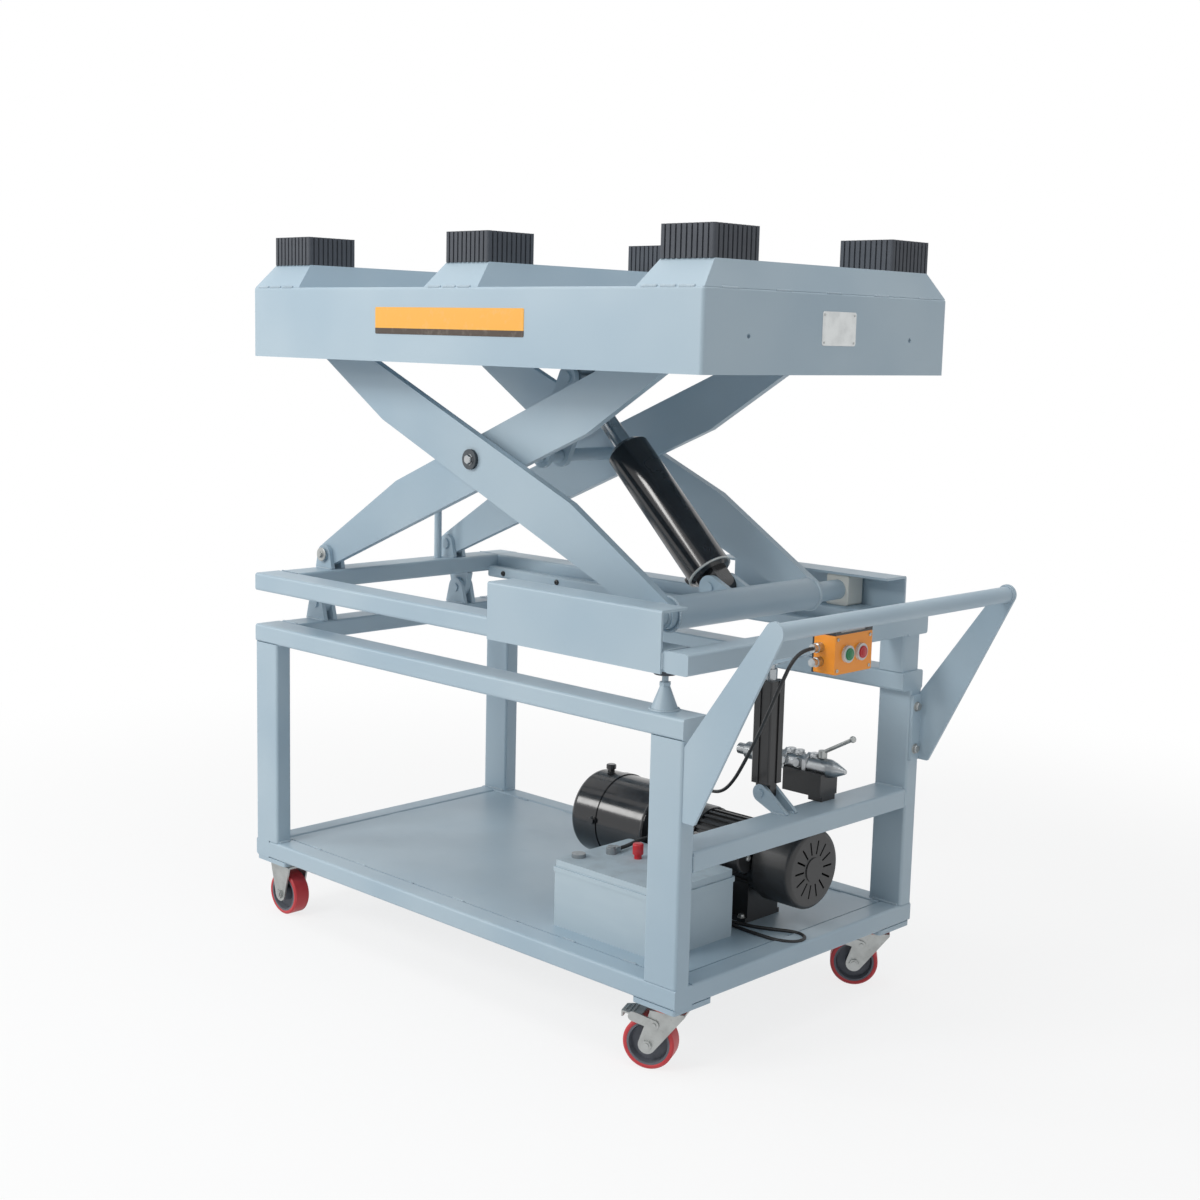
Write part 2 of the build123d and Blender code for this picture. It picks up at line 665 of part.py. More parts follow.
BATTERY_X1 = FRONT - BATTERY_FRONT
BATTERY_X0 = BATTERY_X1 - BATTERY_L
BATTERY_Y0 = BATTERY_SIDE - SIDE
BATTERY_Y1 = BATTERY_Y0 + BATTERY_W
BATTERY_LID_Z = DECK_TOP + BATTERY_H
BATTERY_TOP = BATTERY_LID_Z + BATTERY_LID_H


def battery_case():
    case = block((BATTERY_X0, BATTERY_Y0, DECK_TOP), (BATTERY_X1, BATTERY_Y1, BATTERY_LID_Z))
    return [fillet(case.edges().filter_by(Axis.Z), 6.0)]


def battery_lid():
    """Stepped lid with a shallow recess for each terminal."""
    lip = 2.0
    skirt = block((BATTERY_X0 - lip, BATTERY_Y0 - lip, BATTERY_LID_Z),
                  (BATTERY_X1 + lip, BATTERY_Y1 + lip, BATTERY_LID_Z + BATTERY_LID_H * 0.4))
    top = block((BATTERY_X0 + lip, BATTERY_Y0 + lip, BATTERY_LID_Z),
                (BATTERY_X1 - lip, BATTERY_Y1 - lip, BATTERY_TOP))
    lid = fillet(skirt.edges().filter_by(Axis.Z), 6.0) + fillet(top.edges().filter_by(Axis.Z), 6.0)
    return [lid]


def terminal_places():
    """Vent plug, lead lug and capped terminal on the lid."""
    x, y = BATTERY_X0, BATTERY_Y0
    return [(x + 24, y + 46), (x + 52, y + 112), (x + 110, y + 128)]


def battery_terminals():
    vent, lug, capped = terminal_places()
    plug = rod((*vent, BATTERY_TOP), (*vent, BATTERY_TOP + 8), TERMINAL_R * 1.3)
    post = rod((*lug, BATTERY_TOP), (*lug, BATTERY_TOP + TERMINAL_H), TERMINAL_R * 0.75)
    clamp = rod((*lug, BATTERY_TOP), (*lug, BATTERY_TOP + TERMINAL_H * 0.8), TERMINAL_R)
    clamp += block((lug[0] - LUG_W / 2, lug[1], BATTERY_TOP),
                   (lug[0] + LUG_W / 2, lug[1] + LUG_L, BATTERY_TOP + LUG_H))
    stem = rod((*capped, BATTERY_TOP), (*capped, BATTERY_TOP + TERMINAL_H * 0.6), TERMINAL_R * 0.7)
    cap = rod((*capped, BATTERY_TOP + TERMINAL_H * 0.6), (*capped, BATTERY_TOP + TERMINAL_H * 2), TERMINAL_R)
    cap = fillet(cap.edges().group_by(Axis.Z)[-1], 4.0)
    return [plug, post + clamp, stem, cap]


# Rests, rear hinges and the actuator's foot

def rest_stops():
    """Cone with an adjusting stud on the left rail, and a pillar on the right rail."""
    x, y = CONE_X, -CONE_Y
    seated = (Align.CENTER, Align.CENTER, Align.MIN)
    cone = Pos(x, y, UPPER_TOP) * Cone(CONE_R, CONE_TOP_R, CONE_H, align=seated)
    stud_top = TILT_BOTTOM - BODY_GAP - REST_PAD_T
    stud = rod((x, y, UPPER_TOP + CONE_H - 2), (x, y, stud_top), STUD_R)
    nut = extrude(Pos(x, y, UPPER_TOP + CONE_H) * RegularPolygon(STUD_R * 1.8, 6), amount=7.0)
    px = FRONT - PILLAR_L / 2 - 4
    py = SIDE - PILLAR_L / 2 - 10
    pillar = rail((px, py, UPPER_TOP), (px, py, TILT_BOTTOM - BODY_GAP), PILLAR_L, PILLAR_L, closed_end=True)
    return [cone + stud + nut, pillar]


def rest_pad():
    top = TILT_BOTTOM - BODY_GAP
    pad = rod((CONE_X, -CONE_Y, top - REST_PAD_T), (CONE_X, -CONE_Y, top), REST_PAD_R)
    return [fillet(pad.edges().filter_by(GeomType.CIRCLE), 3.0)]


HINGE_Z = (UPPER_TOP + TILT_BOTTOM) / 2


def hinge_ear(x, z, base, radius, y0, y1, foot=1.35):
    """Ear with a round top: a hull of a circle round the pin and a wider foot at the base height."""
    reach = radius * foot
    toe = 2.0
    lift = toe if base < z else -toe
    outline = hull_of((x, z, radius), (x - reach, base + lift, toe), (x + reach, base + lift, toe))
    return plate(outline, y0, y1)


def rear_hinges():
    """Pairs of ears on the rear rail with a pin through each pair."""
    half = TONGUE_T / 2 + EAR_GAP
    solids = []
    for side in SIDES:
        y = side * HINGE_Y
        x = REAR + HINGE_X
        for y0 in (y - half - HINGE_EAR_T, y + half):
            ear = hinge_ear(x, HINGE_Z, UPPER_TOP, HINGE_EAR_R, y0, y0 + HINGE_EAR_T)
            solids.append(ear - cross_rod(x, HINGE_Z, y0 - 1, y0 + HINGE_EAR_T + 1, HINGE_PIN_R))
        reach = half + HINGE_EAR_T + 4
        solids.append(cross_rod(x, HINGE_Z, y - reach, y + reach, HINGE_PIN_R))
    return solids


ACTUATOR_AXIS_X = FRONT - ACTUATOR_BACK
ACTUATOR_FOOT_Z = MID_TOP + ACTUATOR_FOOT_RISE
ACTUATOR_HEAD_Z = TILT_BOTTOM - ACTUATOR_HEAD_DROP


def actuator_foot():
    """Two ears that lean inwards from the middle rail, with the lower pin."""
    half = ACTUATOR_EYE_T / 2 + EAR_GAP
    base_x = FRONT - MID_RAIL_W + 6
    toe = 2.0
    outline = hull_of((ACTUATOR_AXIS_X, ACTUATOR_FOOT_Z, ACTUATOR_EYE_R), (base_x, MID_TOP + toe, toe),
                      (base_x + 34, MID_TOP + toe, toe))
    solids = []
    for y0 in (-half - ACTUATOR_EAR_T, half):
        solids.append(plate(outline, y0, y0 + ACTUATOR_EAR_T))
    reach = half + ACTUATOR_EAR_T + 4
    foot = solids[0] + solids[1] + cross_rod(ACTUATOR_AXIS_X, ACTUATOR_FOOT_Z, -reach, reach, ACTUATOR_PIN_R)
    return [foot]


# Casters

def fork(place, turn, swivels):
    """Pressed fork: head, crown, two tapered legs and an axle bolt."""
    leg_in = HUB_W / 2 + FORK_SIDE_GAP
    leg_out = leg_in + FORK_T
    trail = FORK_TRAIL if swivels else 0.0
    axle_z = WHEEL_R - CASTER_H
    gap = BODY_GAP if swivels else 0.0
    head = rod((0, 0, -HEAD_T), (0, 0, -gap), HEAD_R)
    crown = block((-HEAD_R, -leg_out, -HEAD_T - FORK_T), (HEAD_R, leg_out, -HEAD_T))
    crown = fillet(crown.edges().filter_by(Axis.X).group_by(Axis.Z)[-1], FORK_T * 0.9)
    toe = 3.0
    leg_shape = hull_of((-trail, axle_z, FORK_FOOT_R), (-HEAD_R + toe, -HEAD_T - FORK_T, toe),
                        (HEAD_R - toe, -HEAD_T - FORK_T, toe))
    legs = plate(leg_shape, -leg_out, -leg_in) + plate(leg_shape, leg_in, leg_out)
    axle = cross_rod(-trail, axle_z, -leg_out - 7, leg_out + 7, AXLE_R)
    for side in SIDES:
        y0, y1 = sorted((side * leg_out, side * (leg_out + 5)))
        plane = Plane(origin=(-trail, y0, axle_z), x_dir=(1, 0, 0), z_dir=(0, 1, 0))
        axle += extrude(plane * RegularPolygon(AXLE_R * 1.75, 6), amount=y1 - y0)
    solid = head + crown + legs + axle
    if swivels:
        solid += rod((0, 0, -gap), (0, 0, KINGPIN_L), KINGPIN_R)
        x, z = PEDAL_PIVOT
        solid += cross_rod(x, z, -leg_out - PEDAL_T - 3, -leg_out, PEDAL_PIN_R)
        solid += cross_rod(x, z, leg_out, leg_out + PEDAL_T + 3, PEDAL_PIN_R)
    return Pos(*place, LOWER_BOTTOM - CASTER_PLATE_T) * Rot(0, 0, turn) * solid


def pedal(place, turn):
    """Brake pedal: two cheeks outside the fork's legs, joined by a tread behind the wheel."""
    cheek_in = HUB_W / 2 + FORK_SIDE_GAP + FORK_T + BODY_GAP
    cheek_out = cheek_in + PEDAL_T
    x, z = PEDAL_PIVOT
    tip_x, tip_z = x - PEDAL_REACH, z + PEDAL_RISE
    shape = hull_of((x, z, PEDAL_PIN_R * 2.2), (tip_x + 32, tip_z - 2, 9), (tip_x + 26, tip_z - 1, 9))
    solid = plate(shape, -cheek_out, -cheek_in) + plate(shape, cheek_in, cheek_out)
    tip_half = PEDAL_TIP_W / 2
    sheet = Polyline((tip_x, -tip_half), (tip_x + 30, -cheek_out), (tip_x + 42, -cheek_out),
                     (tip_x + 42, cheek_out), (tip_x + 30, cheek_out), (tip_x, tip_half), close=True)
    tread = extrude(Pos(0, 0, tip_z) * make_face(sheet), amount=PEDAL_T)
    lip = block((tip_x, -tip_half, tip_z - 9), (tip_x + PEDAL_T, tip_half, tip_z + PEDAL_T))
    solid += tread + lip
    for side in SIDES:
        y0, y1 = sorted((side * (cheek_in - 1), side * (cheek_out + 1)))
        solid -= cross_rod(x, z, y0, y1, PEDAL_PIN_R + PIN_PLAY)
    return [Pos(*place, LOWER_BOTTOM - CASTER_PLATE_T) * Rot(0, 0, turn) * solid]


def wheel_place(place, turn, swivels):
    """Placement of a wheel whose axle lies along Y before the fork's turn."""
    trail = FORK_TRAIL if swivels else 0.0
    drop = Pos(*place, LOWER_BOTTOM - CASTER_PLATE_T) * Rot(0, 0, turn)
    return drop * Pos(-trail, 0, WHEEL_R - CASTER_H)


def turned_y(points):
    """Turned piece round Y from a profile of radius and place along Y."""
    face = Plane.XY * make_face(Polyline(*points, close=True))
    return revolve(face, axis=Axis.Y)


def wheel_core():
    """Cast core: hub, thin web and rim."""
    rim_r = WHEEL_R - TREAD_T
    half, hub = WHEEL_W / 2 - 1, HUB_W / 2
    web = 5.0
    bore = AXLE_R + PIN_PLAY
    return turned_y([(bore, -hub), (HUB_R, -hub), (HUB_R + 2, -web), (rim_r - 7, -web), (rim_r - 4, -half),
                     (rim_r, -half), (rim_r, half), (rim_r - 4, half), (rim_r - 7, web), (HUB_R + 2, web),
                     (HUB_R, hub), (bore, hub)])


def wheel_tread():
    """Moulded tread with bevelled shoulders."""
    rim_r, half = WHEEL_R - TREAD_T, WHEEL_W / 2
    bevel = 3.0
    return turned_y([(rim_r, -half + 1), (rim_r + 2, -half), (WHEEL_R - bevel, -half),
                     (WHEEL_R, -half + bevel), (WHEEL_R, half - bevel), (WHEEL_R - bevel, half),
                     (rim_r + 2, half), (rim_r, half - 1)])


# Tilt ring

def tilt_ring():
    """Rails round the ring that butt in turn, and a low bar along the right rail's inner face."""
    z = TILT_BOTTOM + RAIL_H / 2
    end = FRONT + TILT_FRONT_OVERHANG
    side_y = SIDE - TILT_SIDE_W / 2
    front_x = end - TILT_FRONT_W / 2
    rear_x = REAR + TILT_REAR_W / 2
    left = rail((REAR, -side_y, z), (end - TILT_FRONT_W, -side_y, z), TILT_SIDE_W, closed_start=True)
    front = rail((front_x, -SIDE, z), (front_x, SIDE - TILT_SIDE_W, z), TILT_FRONT_W, closed_start=True)
    right = rail((REAR + TILT_REAR_W, side_y, z), (end, side_y, z), TILT_SIDE_W, closed_end=True)
    rear = rail((rear_x, TILT_SIDE_W - SIDE, z), (rear_x, SIDE, z), TILT_REAR_W, closed_end=True)
    bar_y = SIDE - TILT_SIDE_W - SIDE_BAR_W / 2
    bar_z = TILT_BOTTOM - SIDE_BAR_DROP + SIDE_BAR_H / 2
    bar_end = end - TILT_FRONT_W - SIDE_BAR_SHORT
    bar = rail((REAR + TILT_REAR_W, bar_y, bar_z), (bar_end, bar_y, bar_z), SIDE_BAR_W, SIDE_BAR_H)
    return [left, front, right, rear, bar]


CHANNEL_TOP = PIVOT_Z + PIVOT_RISE + CHANNEL_T
SLIDER_H = 2 * (PIVOT_RISE - SLIDE_PLAY)


def slide_channels():
    """Bent plates outside the side rails, with a flange over each slide block."""
    x0 = SLIDE_X - CHANNEL_BACK
    web = block((x0, -SIDE - CHANNEL_T, TILT_BOTTOM - 3), (x0 + CHANNEL_L, -SIDE, CHANNEL_TOP))
    flange = block((x0, -SIDE, CHANNEL_TOP - CHANNEL_T), (x0 + CHANNEL_L, CHANNEL_FLANGE - SIDE, CHANNEL_TOP))
    angle = web + flange
    outer = angle.edges().filter_by(Axis.X).group_by(Axis.Z)[-1].sort_by(Axis.Y)[0]
    return mirrored([fillet(outer, CHANNEL_T * 0.9)])


def arm_ears(x, z, base, mid_y):
    """A pair of ears each side of an arm, with the pin through them."""
    half = ARM_T / 2 + EAR_GAP
    solids = []
    for y0 in (mid_y - half - EAR_T, mid_y + half):
        ear = hinge_ear(x, z, base, ARM_END_R * 0.8, y0, y0 + EAR_T, 1.25)
        solids.append(ear - cross_rod(x, z, y0 - 1, y0 + EAR_T + 1, ARM_PIN_R))
    reach = half + EAR_T + 5
    solids.append(cross_rod(x, z, mid_y - reach, mid_y + reach, ARM_PIN_R))
    return solids


def tilt_lugs():
    """Hinge ears for the inner arms, tongues for the rear hinges, actuator head and prop rod."""
    solids = []
    for side in SIDES:
        solids += arm_ears(HINGE_LINE_X, PIVOT_Z, TILT_TOP, side * (INNER_ARM_Y - ARM_T / 2))
        y = side * HINGE_Y
        x = REAR + HINGE_X
        tongue = hinge_ear(x, HINGE_Z, TILT_BOTTOM, HINGE_EAR_R, y - TONGUE_T / 2, y + TONGUE_T / 2)
        solids.append(tongue - cross_rod(x, HINGE_Z, y - TONGUE_T, y + TONGUE_T, HINGE_PIN_R + PIN_PLAY))
    solids.append(actuator_head())
    x = REAR + TILT_REAR_W / 2
    solids.append(rod((x, PROP_Y, TILT_TOP), (x, PROP_Y, TILT_TOP + PROP_H), PROP_R))
    return solids


def actuator_head():
    """Two ears under the front rail that reach in to the actuator's upper pin."""
    half = ACTUATOR_EYE_T / 2 + EAR_GAP
    rail_x = FRONT + TILT_FRONT_OVERHANG - TILT_FRONT_W
    toe = 2.0
    outline = hull_of((ACTUATOR_AXIS_X, ACTUATOR_HEAD_Z, ACTUATOR_EYE_R),
                      (rail_x + toe, TILT_BOTTOM - toe, toe),
                      (rail_x + TILT_FRONT_W - 12, TILT_BOTTOM - toe, toe))
    ears = None
    for y0 in (-half - ACTUATOR_EAR_T, half):
        ear = plate(outline, y0, y0 + ACTUATOR_EAR_T)
        ears = ear if ears is None else ears + ear
    reach = half + ACTUATOR_EAR_T + 4
    return ears + cross_rod(ACTUATOR_AXIS_X, ACTUATOR_HEAD_Z, -reach, reach, ACTUATOR_PIN_R)


def actuator_column():
    """Square column with guide grooves, an eye at its foot and a bore for the rod."""
    half = ACTUATOR_W / 2
    low = ACTUATOR_FOOT_Z + ACTUATOR_EYE_R + 2
    top = ACTUATOR_HEAD_Z - ACTUATOR_TOP_GAP
    section = RectangleRounded(ACTUATOR_W, ACTUATOR_W, 4.0)
    groove = Rectangle(9.0, 5.0)
    for turn in range(4):
        section -= Rot(0, 0, 90.0 * turn) * Pos(0, half) * groove
    column = extrude(Pos(ACTUATOR_AXIS_X, 0, low) * section, amount=top - low)
    eye_half = ACTUATOR_EYE_T / 2
    neck = block((ACTUATOR_AXIS_X - ACTUATOR_EYE_R, -eye_half, ACTUATOR_FOOT_Z),
                 (ACTUATOR_AXIS_X + ACTUATOR_EYE_R, eye_half, low))
    eye = cross_rod(ACTUATOR_AXIS_X, ACTUATOR_FOOT_Z, -eye_half, eye_half, ACTUATOR_EYE_R)
    column += neck + eye
    column -= cross_rod(ACTUATOR_AXIS_X, ACTUATOR_FOOT_Z, -eye_half, eye_half, ACTUATOR_PIN_R + PIN_PLAY)
    column -= rod((ACTUATOR_AXIS_X, 0, low + 14), (ACTUATOR_AXIS_X, 0, top), ACTUATOR_BORE_R)
    return [column]


def actuator_rod():
    """Rod with an eye whose bore leaves play round the upper pin."""
    low = ACTUATOR_FOOT_Z + ACTUATOR_EYE_R + 18
    eye_half = ACTUATOR_EYE_T / 2
    shoulder = ACTUATOR_HEAD_Z - ACTUATOR_EYE_R - 6
    shaft = rod((ACTUATOR_AXIS_X, 0, low), (ACTUATOR_AXIS_X, 0, shoulder), ACTUATOR_ROD_R)
    neck_top = ACTUATOR_HEAD_Z - ACTUATOR_PIN_R - 4
    shaft += rod((ACTUATOR_AXIS_X, 0, shoulder), (ACTUATOR_AXIS_X, 0, neck_top), eye_half - 0.5)
    eye = cross_rod(ACTUATOR_AXIS_X, ACTUATOR_HEAD_Z, -eye_half, eye_half, ACTUATOR_EYE_R)
    bore_r = ACTUATOR_PIN_R + HEAD_PIN_PLAY
    return [shaft + eye - cross_rod(ACTUATOR_AXIS_X, ACTUATOR_HEAD_Z, -eye_half - 1, eye_half + 1, bore_r)]


# Scissor

def along(u, v, rising):
    """Place on an arm: u along its pivot line from the centre, v above that line."""
    slope = ANGLE if rising else -ANGLE
    return CENTRE + Vector(u * cos(slope) - v * sin(slope), 0, u * sin(slope) + v * cos(slope))


def arm_outline(rising):
    """Hull of the two end circles and of a kink on opposite edges."""
    lower_edge = -1 if rising else 1
    bulge = lower_edge * ARM_KINK_V
    places = [(-ARM_HALF, 0, ARM_END_R), (ARM_HALF, 0, ARM_END_R),
              (ARM_KINK, bulge, ARM_KINK_R), (-ARM_KINK, -bulge, ARM_KINK_R)]
    circles = []
    for u, v, radius in places:
        place = along(u, v, rising)
        circles.append((place.X, place.Z, radius))
    return hull_of(*circles)


def drilled(solid, x, z, radius):
    """Solid with a hole along Y right through it."""
    return solid - cross_rod(x, z, -SIDE, SIDE, radius)


def arm_plates(rising, outer_y, holes):
    """Pair of arm plates whose outer faces lie at outer_y, drilled at the given places."""
    outline = arm_outline(rising)
    plates = [plate(outline, -outer_y, ARM_T - outer_y), plate(outline, outer_y - ARM_T, outer_y)]
    for place, radius in holes:
        plates = [drilled(solid, place.X, place.Z, radius) for solid in plates]
    return plates


def lift_ears(pin, tube, tube_r):
    """Two ears from a cross tube to a cylinder pin, with the pin through them."""
    half = LIFT_EYE_T / 2 + EAR_GAP
    solids = []
    for y0 in (-half - LIFT_EAR_T, half):
        ear = plate(hull_of((pin.X, pin.Z, LIFT_EYE_R), (tube.X, tube.Z, LIFT_EYE_R)), y0, y0 + LIFT_EAR_T)
        ear -= cross_rod(tube.X, tube.Z, y0, y0 + LIFT_EAR_T, tube_r)
        solids.append(ear - cross_rod(pin.X, pin.Z, y0, y0 + LIFT_EAR_T, LIFT_PIN_R))
    reach = half + LIFT_EAR_T + 5
    return solids + [cross_rod(pin.X, pin.Z, -reach, reach, LIFT_PIN_R)]


def inner_arms():
    """Welded frame: two plates, a tube round the centre pins with the cylinder's bracket, and a shaft."""
    inside = INNER_ARM_Y - ARM_T
    hinge, top = along(-ARM_HALF, 0, True), along(ARM_HALF, 0, True)
    bore = CENTRE_PIN_R + PIN_PLAY
    plates = arm_plates(True, INNER_ARM_Y, [(hinge, ARM_PIN_R + PIN_PLAY), (CENTRE, bore), (top, SHAFT_R)])
    bridge = cross_rod(CENTRE.X, CENTRE.Z, -inside, inside, CENTRE_TUBE_R, bore)
    ears = lift_ears(along(LIFT_HEAD_U, LIFT_HEAD_V, True), CENTRE, CENTRE_TUBE_R)
    shaft_end = PLATFORM_W / 2 - PLATFORM_T - TRACK_T - SLIDER_GAP
    return plates + [bridge] + ears + [cross_rod(top.X, top.Z, -shaft_end, shaft_end, SHAFT_R)]


def outer_arms():
    """Welded frame: two plates, the big lower cross tube with the cylinder's ears, and its shaft ends."""
    inside = OUTER_ARM_Y - ARM_T
    hinge, low = along(-ARM_HALF, 0, False), along(ARM_HALF, 0, False)
    holes = [(hinge, ARM_PIN_R + PIN_PLAY), (CENTRE, CENTRE_PIN_R + PIN_PLAY)]
    plates = arm_plates(False, OUTER_ARM_Y, holes)
    bridge = cross_rod(low.X, low.Z, -inside, inside, CROSS_TUBE_R, CROSS_TUBE_R - CROSS_TUBE_WALL)
    ears = lift_ears(along(ARM_HALF - LIFT_FOOT_BACK, 0, False), low, CROSS_TUBE_R)
    shaft_end = SIDE - SLIDER_GAP
    shafts = mirrored([cross_rod(low.X, low.Z, -shaft_end, -OUTER_ARM_Y, SHAFT_R)])
    return plates + [bridge] + ears + shafts


def centre_bolts():
    """Pins that hold each pair of arms together, with a head outside and a spacer between the arms."""
    x, z = CENTRE.X, CENTRE.Z
    head_y = OUTER_ARM_Y + BODY_GAP
    pin = cross_rod(x, z, -head_y, ARM_T - INNER_ARM_Y + CENTRE_PIN_REACH, CENTRE_PIN_R)
    head = cross_rod(x, z, -head_y - CENTRE_HEAD_T, -head_y, CENTRE_HEAD_R)
    spacer = cross_rod(x, z, ARM_T - OUTER_ARM_Y, -INNER_ARM_Y - BODY_GAP, SPACER_R)
    recess = cross_rod(x, z, -head_y - CENTRE_HEAD_T, -head_y - CENTRE_HEAD_T + 3, CENTRE_HEAD_R * 0.55)
    return mirrored([pin + head + spacer - recess])


def slide_block(x, z, y0, y1, height):
    """Nylon block with rounded edges on a slide shaft."""
    shape = block((x - SLIDER_L / 2, y0, z - height / 2), (x + SLIDER_L / 2, y1, z + height / 2))
    shape = fillet(shape.edges().filter_by(Axis.Y), 6.0)
    return shape - cross_rod(x, z, y0, y1, SHAFT_R + PIN_PLAY)


def lower_slides():
    y1 = SIDE - SLIDER_GAP
    return mirrored([slide_block(SLIDE_X, PIVOT_Z, -y1, SLIDER_W - y1, SLIDER_H)])


def upper_slides():
    y1 = PLATFORM_W / 2 - PLATFORM_T - TRACK_T - SLIDER_GAP
    return mirrored([slide_block(SLIDE_X, TOP_PIVOT_Z, -y1, SLIDER_W - y1, SLIDER_H)])


# Lift cylinder: drawn along its own axis, then laid between its two pins

LIFT_FOOT = along(ARM_HALF - LIFT_FOOT_BACK, 0, False)
LIFT_HEAD = along(LIFT_HEAD_U, LIFT_HEAD_V, True)
LIFT_SPAN = hypot(LIFT_HEAD.X - LIFT_FOOT.X, LIFT_HEAD.Z - LIFT_FOOT.Z)
BARREL_L = LIFT_SPAN - BARREL_START - ROD_SHOW
LIFT_TILT = degrees(atan2(LIFT_HEAD.Z - LIFT_FOOT.Z, LIFT_HEAD.X - LIFT_FOOT.X))


def on_lift(solid):
    """Turn a piece drawn along X from the lower pin into the cylinder's place."""
    return Pos(LIFT_FOOT.X, 0, LIFT_FOOT.Z) * Rot(0, -LIFT_TILT, 0) * solid


def turned_part(points):
    """Turned piece along X from a profile of x and radius."""
    return revolve(Plane.XY * make_face(Polyline(*points, close=True)), axis=Axis.X)


def cylinder_barrel():
    """Barrel with a flat eye at its foot, a bored inside and a rounded gland head."""
    end = BARREL_START + BARREL_L
    bore = BARREL_R - BARREL_WALL
    floor = BARREL_START + BARREL_FLOOR
    head = end - GLAND_HEAD_L
    shell = turned_part([(BARREL_START, 0), (BARREL_START, BARREL_R - 8), (BARREL_START + 8, BARREL_R),
                         (end - 10, BARREL_R), (end, BARREL_R - 10), (end, LIFT_ROD_R + PIN_PLAY),
                         (head, LIFT_ROD_R + PIN_PLAY), (head, bore), (floor, bore), (floor, 0)])
    half = LIFT_EYE_T / 2
    eye = plate(hull_of((0, 0, LIFT_EYE_R), (BARREL_START, 0, LIFT_EYE_R)), -half, half)
    eye -= cross_rod(0, 0, -half, half, LIFT_PIN_R + PIN_PLAY)
    port = rod((BARREL_START + 30, 0, BARREL_R - 2), (BARREL_START + 30, 0, BARREL_R + 12), 9.0)
    return [on_lift(shell + eye + port - rod((floor, 0, 0), (head, 0, 0), bore))]


def cylinder_rod():
    """Rod with a piston, and a slotted eye that leaves the upper pin room to swing."""
    piston_r = BARREL_R - BARREL_WALL - PIN_PLAY
    play = LIFT_PIN_R + LIFT_SLOT_PLAY
    eye_r = play + LIFT_SLOT_WALL
    tip = LIFT_SPAN - play - LIFT_SLOT_WALL / 2
    shaft = turned_part([(PISTON_START, 0), (PISTON_START, piston_r), (PISTON_START + PISTON_L, piston_r),
                         (PISTON_START + PISTON_L, LIFT_ROD_R), (tip, LIFT_ROD_R), (tip, 0)])
    half = LIFT_EYE_T / 2
    fore, back = (LIFT_SPAN, LIFT_SLOT_FORE), (LIFT_SPAN, -LIFT_SLOT_BACK)
    eye = plate(hull_of((*fore, eye_r), (*back, eye_r)), -half, half)
    slot = plate(hull_of((*fore, play), (*back, play)), -half - 1, half + 1)
    return [on_lift(shaft + eye - slot)]


# Platform

def platform_shell():
    """Skirted top, open underneath, with two bolt holes in its front skirt."""
    x0, x1 = PLATFORM_REAR, PLATFORM_REAR + PLATFORM_L
    half = PLATFORM_W / 2
    outer = block((x0, -half, PLATFORM_BOTTOM), (x1, half, PLATFORM_TOP))
    outer = fillet(outer.edges().filter_by(Axis.Z), PLATFORM_R)
    outer = fillet(outer.edges().group_by(Axis.Z)[-1], PLATFORM_R * 0.6)
    inner = block((x0 + PLATFORM_T, PLATFORM_T - half, PLATFORM_BOTTOM),
                  (x1 - PLATFORM_T, half - PLATFORM_T, PLATFORM_TOP - PLATFORM_T))
    shell = outer - inner
    for side in SIDES:
        y, z = side * END_HOLE_SPACING / 2, PLATFORM_BOTTOM + END_HOLE_RISE
        shell -= rod((x1 - PLATFORM_T - 1, y, z), (x1 + 1, y, z), END_HOLE_R)
    return [shell]


def ridge_middles():
    """Places along X of the three ridges."""
    first = PLATFORM_REAR + RIDGE_EDGE + RIDGE_L / 2
    last = PLATFORM_REAR + PLATFORM_L - RIDGE_EDGE - RIDGE_L / 2
    return [first, (first + last) / 2, last]


def ridge(x):
    """Folded sheet box with four sloping sides, open underneath."""
    width = PLATFORM_W - 2 * RIDGE_EDGE - 2

    def frustum(shrink, low, high):
        base = Pos(x, 0, low) * Rectangle(RIDGE_L - 2 * shrink, width - 2 * shrink)
        top_l = RIDGE_L - 2 * (shrink + RIDGE_SLOPE_X)
        top = Pos(x, 0, high) * Rectangle(top_l, width - 2 * (shrink + RIDGE_SLOPE_Y))
        return loft([base.face(), top.face()])

    outer = frustum(0.0, PLATFORM_TOP, PLATFORM_TOP + RIDGE_H)
    return outer - frustum(RIDGE_T, PLATFORM_TOP, PLATFORM_TOP + RIDGE_H - RIDGE_T)


def platform_ridges():
    return [ridge(x) for x in ridge_middles()]


def rubber_pad(x, y):
    """Square pad with upright grooves round its sides."""
    section = RectangleRounded(PAD_L, PAD_L, 5.0)
    groove = Rectangle(PAD_GROOVE_W, 2 * PAD_GROOVE_D)
    pitch = PAD_L / (PAD_GROOVES + 1)
    for turn in range(4):
        for step in range(PAD_GROOVES):
            place = Rot(0, 0, 90.0 * turn) * Pos((step + 1) * pitch - PAD_L / 2, PAD_L / 2)
            section -= place * groove
    return extrude(Pos(x, y, PLATFORM_TOP + RIDGE_H) * section, amount=PAD_H)


def platform_pads():
    return [rubber_pad(x, side * PAD_Y) for x in ridge_middles() for side in SIDES]


